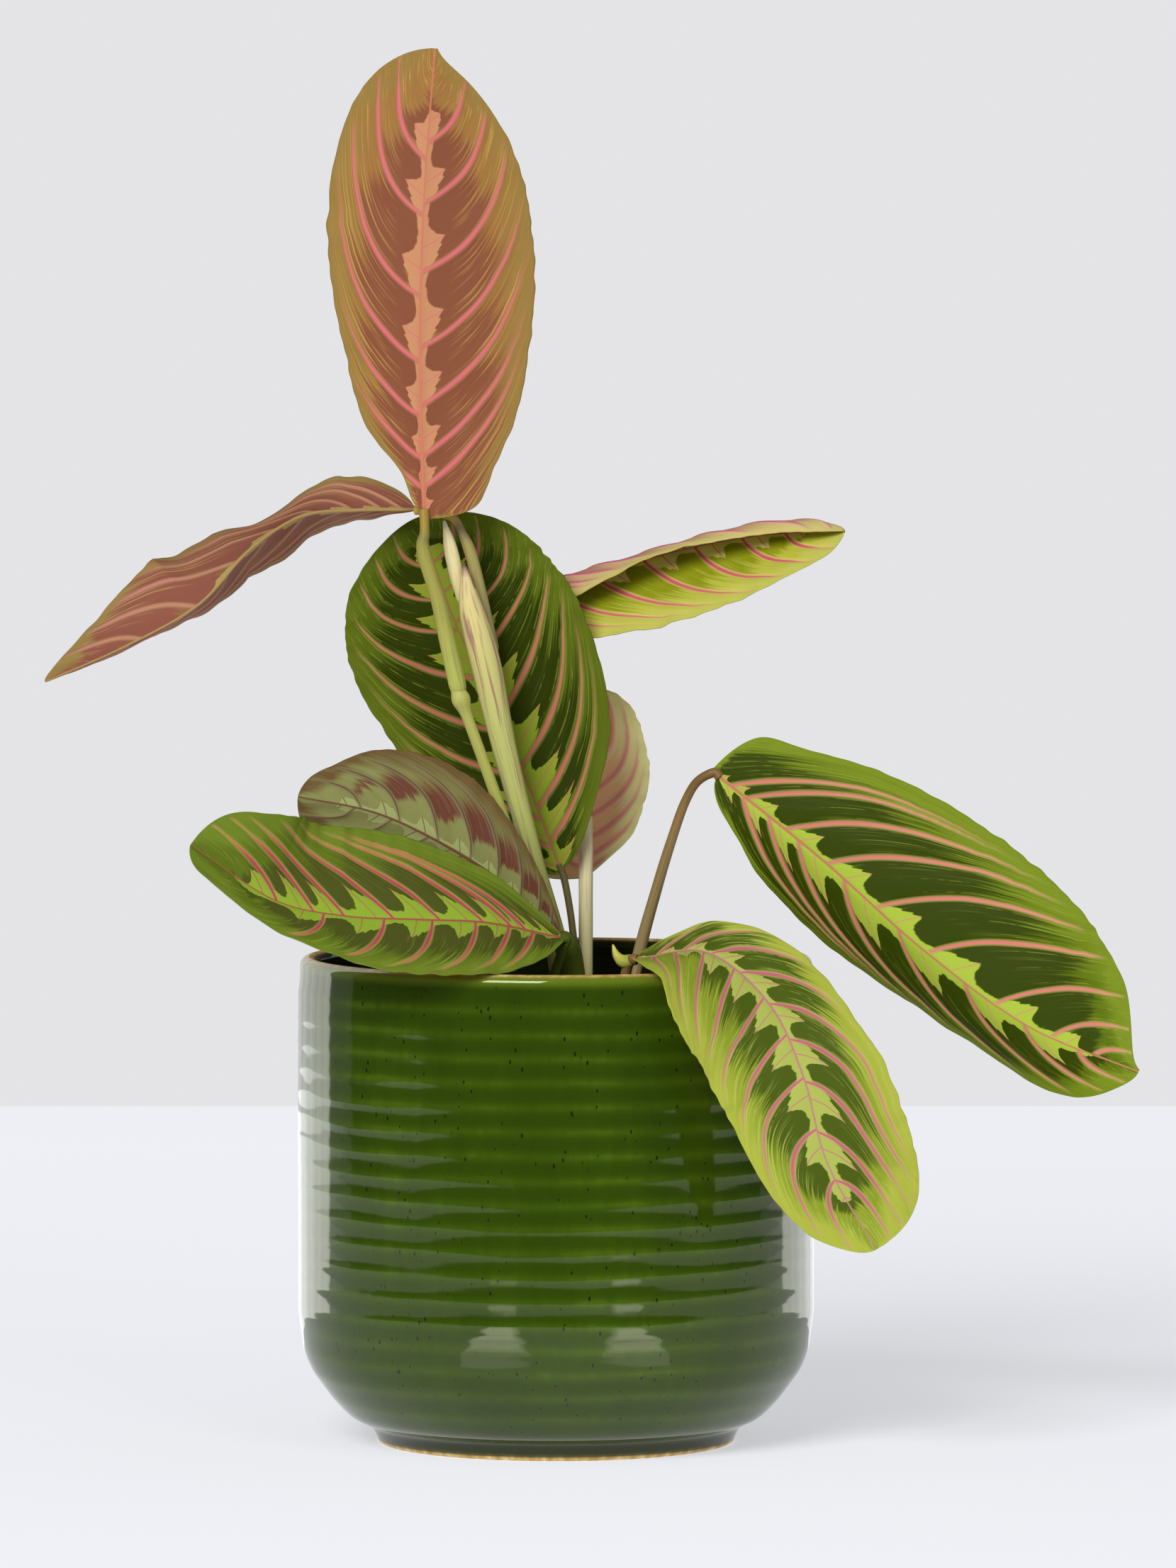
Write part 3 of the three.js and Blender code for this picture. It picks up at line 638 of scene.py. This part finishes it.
# the tones run from foot (0) to top (1), and the next colour is the lines'
shoot_skin = stem_skin("pale_shoot", [(0, "#9db04e"), (0.55, "#c6c876"), (0.8, "#dccf88"), (0.95, "#dfcc8e"),
                                      (0.995, "#8a5a68")], "#a0606c", 0.8)
# painted light: the cane's tones are brightened past its own colour to make up for the leaves' shadow on it
cane_skin_painted_light = stem_skin("buff_shoot_painted_light", [(0, "#e0da8c"), (1, "#f2eabc")], "#d89ca0", 0.5)
spear_skin = stem_skin("cream_young_leaf", [(0, "#ecdd9c"), (1, "#f5e8b8")], "#cdb476")
fresh_skin = stem_skin("fresh_green_stem", [(0, "#b2ba56"), (0.8, "#b6b45e"), (1, "#cace7d")], "#c8cc86", 0.3)
top_skin = stem_skin("olive_petiole", [(0, "#b8be5d"), (0.3, "#a8a452"), (0.6, "#a29c4a"), (0.72, "#8c8446"),
                                       (0.86, "#a48737"), (1, "#a88434")], "#84864c", 0.5)
arch_skin = stem_skin("arching_petiole", [(0, "#a09a6c"), (0.5, "#a89a58"), (0.62, "#a08a70"),
                                          (0.70, "#c8a850"), (1, "#c0a048")], "#7c7454", 0.5)
thin_skin = stem_skin("grey_brown_petiole", [(0, "#7a7440"), (1, "#6e5f3c")], "#4f5430", 0.6)
brown_skin = stem_skin("brown_petiole", [(0, "#a49468"), (0.45, "#947848"), (0.7, "#7c5e34"), (1, "#86683a")],
                       "#5a4a24", 0.5)
green_skin = stem_skin("green_sheath", [(0, "#6a7c2a"), (0.8, "#56661e"), (1, "#4c5a1e")], "#44501a", 0.5)
bract_skin = stem_skin("yellow_bract", [(0, "#8aa038"), (0.5, "#b8b850"), (1, "#d8cc60")], "#8a7a40", 0.3)

make_stem("shoot_left", shoot_skin, "pale_stem", (3.3, 3.2, 2.6, 3.1, 3.9, 3.1, 0.5), (3, -2, STEM_BASE),
          (1, -2, 135), (-6.5, -2.5, 165), (-14.1, -4, 194), (-19.9, -5, 220), (-24, -5, 236),
          (-25.8, -5, 248), overlap=0.14)
make_stem("shoot_right", cane_skin_painted_light, "pale_stem", (1.9, 1.9), (8.3, 18, STEM_BASE), (8.3, 19, 145),
          (8.3, 20.5, 176.5), overlap=0.1)
make_stem("sheath_tip", spear_skin, "pale_stem", (1, 1.85, 1.75, 0.3), (-26.6, -1.5, 237), (-29, -1.4, 249),
          (-31.6, -2.9, 261), overlap=0.1)
make_stem("petiole_left", arch_skin, "brown_petiole", (1.75, 1.75, 1.8, 1.75, 1.65, 1.15, 1.3, 1.45, 1.4),
          (-17.4, -0.3, 222.4), (-19.9, 0.6, 233.6), (-21.8, 0.6, 242), (-23.9, 0.6, 250.5),
          (-26.1, 0.8, 256), (-29.2, 1, 261.2), pulvinus=3)
make_stem("petiole_centre", thin_skin, "brown_petiole", (1.2, 1.05, 1.0, 1.05, 1.2), (6.5, 7, STEM_BASE),
          (5.6, 9, 131.5), (4.4, 10.3, 146), pulvinus=4)
make_stem("petiole_rolled", brown_skin, "brown_petiole", (1.6, 1.5, 1.5, 1.7), (8.3, 20.8, 175.5),
          (5, 26, 192), (-6, 34, 212), (-17, 40, 225), pulvinus=3)
make_stem("petiole_back", brown_skin, "brown_petiole", (1.5, 1.4, 1.6), (9, 30, STEM_BASE), (8.8, 31, 135),
          (8.4, 33.5, 149), pulvinus=3)
make_stem("petiole_lower_left", green_skin, "brown_petiole", (1.5, 1.3, 1.4), (-4, -20, STEM_BASE),
          (-2, -29, 128), (1.5, -37, 141), pulvinus=1.5)
make_stem("petiole_underside", green_skin, "brown_petiole", (3.4, 3.6, 3.2, 1.4), (4, -14, STEM_BASE),
          (4.5, -18, 128), (3.8, -21.5, 138), pulvinus=2, overlap=0.1)
make_stem("petiole_right", brown_skin, "brown_petiole", (2, 1.7, 1.4, 1.3, 1.3, 1.5), (19, 4, STEM_BASE),
          (22.3, 2, 133), (28.6, -3.5, 157.6), (33.6, -6.3, 174), (36.6, -7.5, 182.1), (39.8, -8.5, 187.3),
          pulvinus=1.5)
make_stem("petiole_front", brown_skin, "brown_petiole", (1.6, 1.5, 1.5), (17, -34, STEM_BASE),
          (18, -41, 125), (19.5, -47, 136), pulvinus=1.5)
make_stem("stem_top_leaf", fresh_skin, "pale_stem", (1.4, 1.6, 1.6, 1.7), (-4, -5.3, 144),
          (-8.2, -8.3, 157.7), (-17.5, -10.5, 185), KNOB_PLACE, (-27.3, -12.05, 213.2),
          swell=(KNOB_PLACE, KNOB_RADIUS))
make_stem("petiole_top", top_skin, "pale_stem", (2.5, 2.3, 2.05, 1.95, 1.4, 1.5), (-26.9, -12.1, 211.2),
          (-30.7, -12.5, 228), (-33.3, -12.8, 239.3), (-37.2, -13.3, 252.5), pulvinus=6)
make_stem("bract_front", bract_skin, "pale_stem", (1.5, 1.9, 1.2, 0.2), (22.5, -49.8, 140.7),
          (19.2, -48.4, 139.6), (17, -47.6, 141.2), (15.8, -47.2, 144.4))

# ---- cover pot
RIB_PITCH = 6.75
FIRST_RIB = 127.6  # height of the highest ridge
LAST_RIB = 12.0
RIB_DEPTH = 0.042
POT_DENT = 0.12  # how far the thrown wall is out of round
POT_STEPS = 216
POT_HEIGHT = 137.5
POT_RADIUS = 72.8
RIM_RADIUS = 72.3
BELLY_TOP = 37.0
POT_WALL = 5.0
POT_FLOOR = 6.0
FOOT_RADIUS = 50.5
POT_LAYERS = ("crest", "rim", "bare", "inside")
GLAZE_IOR = 1.5
GLAZE_ROUGHNESS = (0.07, 0.3)  # on the glaze and on bare stoneware


def glazed_stoneware():
    """Transparent green glaze on wheel-thrown stoneware: it pools dark in the grooves, thins to
    yellow-green on the ridges and under the rim, breaks to cream at rim and foot, and is flecked
    with iron from the clay."""
    material, add = new_material("green_glazed_stoneware")
    crest, rim, bare, inside = (
        add("Attribute", out="Fac", attribute_name=attribute) for attribute in POT_LAYERS)
    place = add("TexCoord", out="Object")
    # the glaze has run a little, so its clouds are drawn out downwards
    runs = add("Mapping", {"Vector": place, "Scale": (1.0, 1.0, 0.35)})
    clouds = add("TexNoise", {"Vector": runs, "Scale": 1 / (28 * MM), "Detail": 4.0})
    mottle = add("TexNoise", {"Vector": runs, "Scale": 1 / (2.5 * MM), "Detail": 3.0})
    thin = add("Math MULTIPLY_ADD", (crest, 0.45, clouds))
    thinner = add("Math MULTIPLY_ADD", (mottle, 0.3, thin))
    depth = add("MapRange", (thinner, 0.4, 1.25))
    glaze = add("ValToRGB", (depth,), stops=[
        (0.0, "#223604"), (0.35, "#293d04"), (0.65, "#2e4405"), (0.85, "#344b08"), (1.0, "#3f560c")])
    # iron flecks up to 0.6 mm wide and twice as tall, at most one in each cell of 2.2 mm
    flecks = add("Mapping", {"Vector": place, "Scale": (1.0, 1.0, 0.5)})
    spots = add("TexVoronoi", {"Vector": flecks, "Scale": 1 / (2.2 * MM)}, out="Distance")
    chance = add("TexNoise", {"Vector": place, "Scale": 1 / (7 * MM), "Detail": 1.0})
    size = add("MapRange", (chance, 0.36, 0.62, 0.0, 0.13))
    halo = add("Math ADD", (size, 0.06))
    fleck = add("MapRange", (spots, halo, size, 0.0, 0.85))
    # bare stoneware, where the glaze has run off the rim and the foot
    biscuit = add("ValToRGB", (mottle,), stops=[(0.3, "#a8823c"), (0.5, "#c4a25a"), (0.7, "#e0c88c")])
    colour = glaze
    # the inner wall is painted a darker green than the outer glaze: painted shade inside the pot
    for share, above in ((fleck, linear("#14120a")), (inside, linear("#1a2408")),
                         (rim, linear("#66781c")), (bare, biscuit)):
        colour = add("Mix", {0: share, 6: colour, 7: above}, **COLOURS)
    ripple = add("TexNoise", {"Vector": place, "Scale": 1 / (6 * MM), "Detail": 2.0})
    gloss = add("MapRange", (bare, 0.0, 1.0, *GLAZE_ROUGHNESS))
    return finish_material(material, colour, gloss, ripple, strength=0.12, depth=0.25,
                           shader={"IOR": GLAZE_IOR, "Specular Tint": linear("#fffde0")})


def arc(centre, radius, start, end, steps):
    """Points of a round in the pot's section, from one angle to the other, in degrees."""
    turns = [radians(start + (end - start) * i / steps) for i in range(steps + 1)]
    return [(centre[0] + radius * cos(turn), centre[1] + radius * sin(turn)) for turn in turns]


def section_curve(corners, steps):
    corners = [Vector((r, 0, z)) for r, z in corners]
    found = [along_curve(corners, i / steps) for i in range(steps + 1)]
    return [(point.x, point.z) for point in found]


def spin_section(section, steps):
    """A bmesh of a section, a list of radius and height, turned about the pot's axis."""
    turned = bmesh.new()
    corners = [turned.verts.new((r, 0, z)) for r, z in section]
    line = [turned.edges.new(pair) for pair in zip(corners, corners[1:])]
    bmesh.ops.spin(turned, geom=corners + line, cent=(0, 0, 0), axis=(0, 0, 1), angle=2 * pi,
                   steps=steps, use_merge=True)
    bmesh.ops.remove_doubles(turned, verts=turned.verts, dist=1e-3)
    return turned


def pot_section():
    """The cover pot's half section, from the middle of its foot to the middle of its floor."""
    bore = POT_RADIUS - POT_WALL
    rim = POT_WALL / 2
    foot = [(0, 0.9), (40, 0.9), (43, 0.6), (44.5, 0), (48.8, 0)] + arc((49.2, 1.3), 1.3, -90, 0, 4)
    foot += [(FOOT_RADIUS + 0.4, 2.2), (51.6, 3.6), (52.3, 4.6)]
    belly = section_curve([(52.9, 5.0), (59.1, 8.4), (66.1, 16.5), (70.7, 24.6), (POT_RADIUS, BELLY_TOP)], 44)
    rings, high = 160, POT_HEIGHT - 12
    wall = [(POT_RADIUS, BELLY_TOP + (high - BELLY_TOP) * i / rings) for i in range(1, rings + 1)]
    neck = section_curve([(POT_RADIUS, high), (POT_RADIUS - 0.15, POT_HEIGHT - 9),
                          (RIM_RADIUS, POT_HEIGHT - 5.5), (RIM_RADIUS, POT_HEIGHT - rim)], 16)[1:-1]
    lip = arc((RIM_RADIUS - rim, POT_HEIGHT - rim), rim, 0, 180, 16)
    inner = section_curve([(bore - 0.5, POT_HEIGHT - 4), (bore, POT_HEIGHT - 9), (bore, 90), (bore, 42)], 40)
    bowl = section_curve([(bore, 42), (bore - 2.6, 22), (bore - 9, 10.5), (bore - 18, POT_FLOOR)], 20)[1:]
    return foot + belly + wall + neck + lip + inner + bowl + [(30, POT_FLOOR), (0, POT_FLOOR)]


def make_cover_pot():
    pot = spin_section(pot_section(), POT_STEPS)
    layers = [pot.verts.layers.float.new(key) for key in POT_LAYERS]
    rim_middle = RIM_RADIUS - POT_WALL / 2
    for vert in pot.verts:
        x, y, z = vert.co
        r = sqrt(x * x + y * y)
        on_belly = 4.9 < z < 36 and r > 66 - (36 - z) * 0.5
        outside = r > rim_middle or on_belly
        wander = noise.noise(Vector((x / 30, y / 30, z / 18)))
        phase = 2 * pi * (z - FIRST_RIB + 0.7 * wander) / RIB_PITCH
        ribbed = blend_in(LAST_RIB - 6, LAST_RIB, z) * blend_in(FIRST_RIB + 6, FIRST_RIB + 2, z)
        crest = (0.5 + 0.5 * cos(phase)) ** 1.6 * ribbed
        if outside and r > 1:
            strength = 1 + 0.7 * noise.noise(Vector((x / 25, y / 25, z / 5)))
            push = RIB_DEPTH * (2 * crest - 1) * strength * ribbed
            push += POT_DENT * noise.noise(Vector((x / 40, y / 40, z / 40)))
            vert.co.x += x / r * push
            vert.co.y += y / r * push
        at_rim = blend_in(POT_HEIGHT - 0.9, POT_HEIGHT - 0.2, z) if r > 60 else 0
        at_foot = blend_in(1.5, 0.6, z) if r > 42 else 1.0 if z < 2 else 0
        near_rim = blend_in(POT_HEIGHT - 4.5, POT_HEIGHT - 0.5, z) if outside else 0.0
        values = (crest if outside else 0.0, near_rim, max(at_rim, at_foot), 0.0 if outside else 1.0)
        for layer, value in zip(layers, values):
            vert[layer] = value
    bmesh.ops.recalc_face_normals(pot, faces=pot.faces)
    return finish_piece(pot, "glazed_cover_pot", "cover_pot", "green_glaze", glazed_stoneware())


cover_pot = make_cover_pot()

# ---- grow pot and potting mix
GROW_BOTTOM = POT_FLOOR + GAP
GROW_TOP = GROW_BOTTOM + 117
GROW_RADII = (47.0, 60.5)  # at the bottom and under the lip
GROW_RIM = 63.5
GROW_WALL = 1.5
LIP_HEIGHT = 7.0
SOIL_TOP = 118.0
SOIL_CROWN = 2.5
BARK_CRUMBS = 420


def moulded_polypropylene():
    """Injection-moulded black polypropylene: matt, a little grey, with fine vertical flow lines."""
    material, add = new_material("black_moulded_polypropylene")
    place = add("TexCoord", out="Object")
    flow = add("Mapping", {"Vector": place, "Scale": (1.0, 1.0, 0.08)})
    lines = add("TexNoise", {"Vector": flow, "Scale": 1 / (1.5 * MM), "Detail": 3.0})
    tone = add("ValToRGB", (lines,), stops=[(0.3, "#252423"), (0.7, "#34322f")])
    gloss = add("MapRange", (lines, 0.3, 0.7, 0.5, 0.65))
    return finish_material(material, tone, gloss, lines, strength=0.2, depth=0.1)


def peat_mix(name, dark, pale):
    """Peat and bark: dry, matt and crumbly, in browns that change from crumb to crumb."""
    material, add = new_material(name)
    place = add("TexCoord", out="Object")
    crumbs = add("TexVoronoi", {"Vector": place, "Scale": 1 / (3.5 * MM)}, out="Color")
    grain = add("TexNoise", {"Vector": place, "Scale": 1 / (0.8 * MM), "Detail": 5.0})
    grey = add("RGBToBW", (crumbs,))
    mixed = add("Math MULTIPLY_ADD", (grain, 0.6, grey))
    tone = add("ValToRGB", (mixed,), stops=[(0.35, dark), (1.0, pale)])
    gloss = add("MapRange", (grain, 0.3, 0.7, 0.85, 0.97))
    return finish_material(material, tone, gloss, grain, strength=0.8, depth=0.6)


def make_grow_pot():
    bottom, top = GROW_RADII
    under_lip = GROW_TOP - LIP_HEIGHT
    section = [(0, GROW_BOTTOM), (bottom - 1.5, GROW_BOTTOM), (bottom - 0.4, GROW_BOTTOM + 0.4),
               (bottom, GROW_BOTTOM + 1.5)]
    section += section_curve([(bottom, GROW_BOTTOM + 1.5), (top, under_lip)], 30)[1:]
    section += [(GROW_RIM - 0.6, under_lip), (GROW_RIM, under_lip + 0.6), (GROW_RIM, GROW_TOP - 0.8)]
    section += arc((GROW_RIM - 0.8, GROW_TOP - 0.8), 0.8, 20, 90, 4)
    section += arc((top - GROW_WALL + 0.8, GROW_TOP - 0.8), 0.8, 90, 180, 4)
    section += section_curve([(top - GROW_WALL, GROW_TOP - 2), (bottom - GROW_WALL, GROW_BOTTOM + 3)], 30)
    section += [(bottom - GROW_WALL - 1.5, GROW_BOTTOM + GROW_WALL), (0, GROW_BOTTOM + GROW_WALL)]
    pot = spin_section(section, 96)
    bmesh.ops.recalc_face_normals(pot, faces=pot.faces)
    finish_piece(pot, "nursery_pot", "grow_pot", "grow_pot_plastic", moulded_polypropylene())


def make_potting_mix():
    bottom = GROW_BOTTOM + GROW_WALL + GAP
    flare = (GROW_RADII[1] - GROW_RADII[0]) / (GROW_TOP - bottom)
    edge = SOIL_TOP - SOIL_CROWN
    low_radius = GROW_RADII[0] - GROW_WALL - GAP
    edge_radius = low_radius + flare * (edge - bottom)
    section = [(0, bottom), (low_radius, bottom), (edge_radius, edge - 1)]
    for i in range(1, 41):
        inward = 1 - i / 40
        section.append((edge_radius * inward, edge + SOIL_CROWN * (1 - inward**2)))
    mix = spin_section(section, 128)
    for vert in mix.verts:
        if vert.co.z > edge - 0.5:
            place = vert.co.copy()
            vert.co.z += 0.9 * noise.fractal(place / 4, 1.0, 2.0, 4) - 0.3
    bmesh.ops.recalc_face_normals(mix, faces=mix.faces)
    peat = peat_mix("peat_potting_mix", "#1d130c", "#5a4330")
    finish_piece(mix, "potting_mix", "soil", "potting_mix", peat)

    chance = random.Random(7)
    crumbs = bmesh.new()
    for _ in range(BARK_CRUMBS):
        distance = (edge_radius - 2.5) * sqrt(chance.random())
        turn = 2 * pi * chance.random()
        height = edge + SOIL_CROWN * (1 - (distance / edge_radius) ** 2)
        size = 0.8 + 1.6 * chance.random() ** 2
        made = bmesh.ops.create_icosphere(crumbs, subdivisions=1, radius=size)["verts"]
        squash = Matrix.Diagonal((1.0, 0.5 + 0.5 * chance.random(), 0.35 + 0.4 * chance.random(), 1.0))
        tumble = Matrix.Rotation(2 * pi * chance.random(), 4, "Z") @ Matrix.Rotation(chance.random(), 4, "X")
        move = Matrix.Translation((distance * cos(turn), distance * sin(turn), height + 0.1 * size))
        for vert in made:
            vert.co *= 0.8 + 0.4 * chance.random()
        bmesh.ops.transform(crumbs, matrix=move @ tumble @ squash, verts=made)
    bark = peat_mix("composted_bark", "#2a1a10", "#8a6a48")
    piece = finish_piece(crumbs, "bark_crumbs", None, "potting_mix", bark)
    for polygon in piece.data.polygons:
        polygon.use_smooth = False


make_grow_pot()
make_potting_mix()


# ---- studio, in metres
FLOOR_FRONT, FLOOR_BACK, FLOOR_SIDE = -0.42, 1.058, 0.8
FLOOR_GLOW = (0.58, 0.66)  # the floor's own light, below the plant and at the far edge
WALL_GREY = "#e4e4e7"
FLOOR_WHITE = "#edeef3"
ROOM_MIRRORED, ROOM_SCATTERED = 0.05, 0.17  # how bright the room is to a mirror and to a matt surface
PANEL_BACK = 0.2  # the side panels stand this far behind the pot's middle
PANEL_EDGES = (0.075, 0.12, 0.17, 0.23, 0.30, 0.37, 0.44)  # where they begin and end, from the middle
PANEL_SHARES = {-1: 1.0, 1: 0.8}  # how bright they are, left and right
VEIL_AWAY, VEIL_RADIANCE = 0.74, 0.28
PATCH_TURNS = {-1: 21, 1: 28}  # the bright patches stand this many degrees off the front
PATCH_LAYERS = 4  # of panels above one another, each wider than the one above, for a soft edge
PATCH_RADIANCE = 0.9


def make_floor():
    material, add = new_material("studio_floor")
    diffuse = add("BsdfDiffuse", {"Color": linear("#cacbd0")})
    place = add("TexCoord", out="Object")
    depth = add("SeparateXYZ", (place,), out=1)
    strength = add("MapRange", (depth, 0.0, 0.9, *FLOOR_GLOW))
    glow = add("Emission", {"Color": linear(FLOOR_WHITE), "Strength": strength})
    both = add("AddShader", (diffuse, glow))
    add("OutputMaterial", {"Surface": both})
    sheet = bmesh.new()
    bmesh.ops.create_grid(sheet, x_segments=1, y_segments=1, size=1)
    reach, middle = (FLOOR_BACK - FLOOR_FRONT) / 2, (FLOOR_BACK + FLOOR_FRONT) / 2
    bmesh.ops.transform(sheet, verts=sheet.verts, matrix=(
        Matrix.Translation((0, middle, 0)) @ Matrix.Diagonal((FLOOR_SIDE, reach, 1, 1))))
    floor = make_object(sheet, "floor", [material])


def make_world():
    world = bpy.data.worlds.new("studio")
    world.use_nodes = True
    world.node_tree.nodes.clear()
    add = partial(add_node, world.node_tree)
    seen = add("LightPath", out="Is Camera Ray")
    wall = add("Background", {"Color": linear(WALL_GREY), "Strength": 1.0})
    matt = add("LightPath", out="Is Diffuse Ray")
    strength = add("MapRange", (matt, 0.0, 1.0, ROOM_MIRRORED, ROOM_SCATTERED))
    room = add("Background", {"Color": linear("#ffffff"), "Strength": strength})
    both = add("MixShader", (seen, room, wall))
    add("OutputWorld", {"Surface": both})
    bpy.context.scene.world = world


def make_softbox(name, place, aim, size, radiance, only=None, mirrored=True):
    """A soft panel that faces a point. radiance is what a mirror would show of it, only is the
    collection of what it lights, if that isn't everything, and mirrored=False hides it from gloss."""
    data = bpy.data.lights.new(name, "AREA")
    data.shape = "RECTANGLE"
    data.size, data.size_y = size
    data.energy = radiance * pi * size[0] * size[1]
    light = bpy.data.objects.new(name, data)
    direction = Vector(aim) - Vector(place)
    light.location = place
    light.rotation_euler = direction.to_track_quat("-Z", "Y").to_euler()
    light.visible_camera = False
    light.visible_glossy = mirrored
    light.light_linking.receiver_collection = only
    bpy.context.scene.collection.objects.link(light)


def light_the_glaze(pot):
    """What the glaze mirrors: white panels at both sides, and two bright patches in front."""
    mirrors = bpy.data.collections.new("glossy_pot")
    mirrors.objects.link(pot)
    for side in (-1, 1):
        for i, (near, far) in enumerate(zip(PANEL_EDGES, PANEL_EDGES[1:])):
            x = side * (near + far) / 2
            radiance = PANEL_SHARES[side] * (0.8 + 6 * (abs(x) - 0.11))  # brighter outwards
            make_softbox(f"side_panel_{i}", (x, PANEL_BACK, 0.3), (x, -1, 0.3), (far - near, 0.6),
                         radiance, mirrors)
        x = side * VEIL_AWAY
        make_softbox("veil_panel", (x, PANEL_BACK, 0.3), (x, -1, 0.3), (0.6, 0.6), VEIL_RADIANCE, mirrors)
        turn = radians(PATCH_TURNS[side])
        for i in range(PATCH_LAYERS):
            away = 0.19 + 0.015 * i
            x, y = side * away * sin(turn), -away * cos(turn)
            make_softbox("front_patch", (x, y, 0.012 - 0.002 * i), (x * 0.8, y * 0.8, 1),
                         (0.036 + 0.008 * i, 0.08 + 0.04 * i), PATCH_RADIANCE, mirrors)


make_floor()
make_world()
MIDDLE = (0, 0, 0.18)
make_softbox("key_light", (-2.4, -6.6, 4.05), MIDDLE, (3.6, 3.6), radiance=13.2)
make_softbox("fill_light", (3.0, -5.0, 2.2), MIDDLE, (3.0, 3.0), radiance=2.0, mirrored=False)
light_the_glaze(cover_pot)
bpy.context.scene.view_settings.view_transform = "Standard"
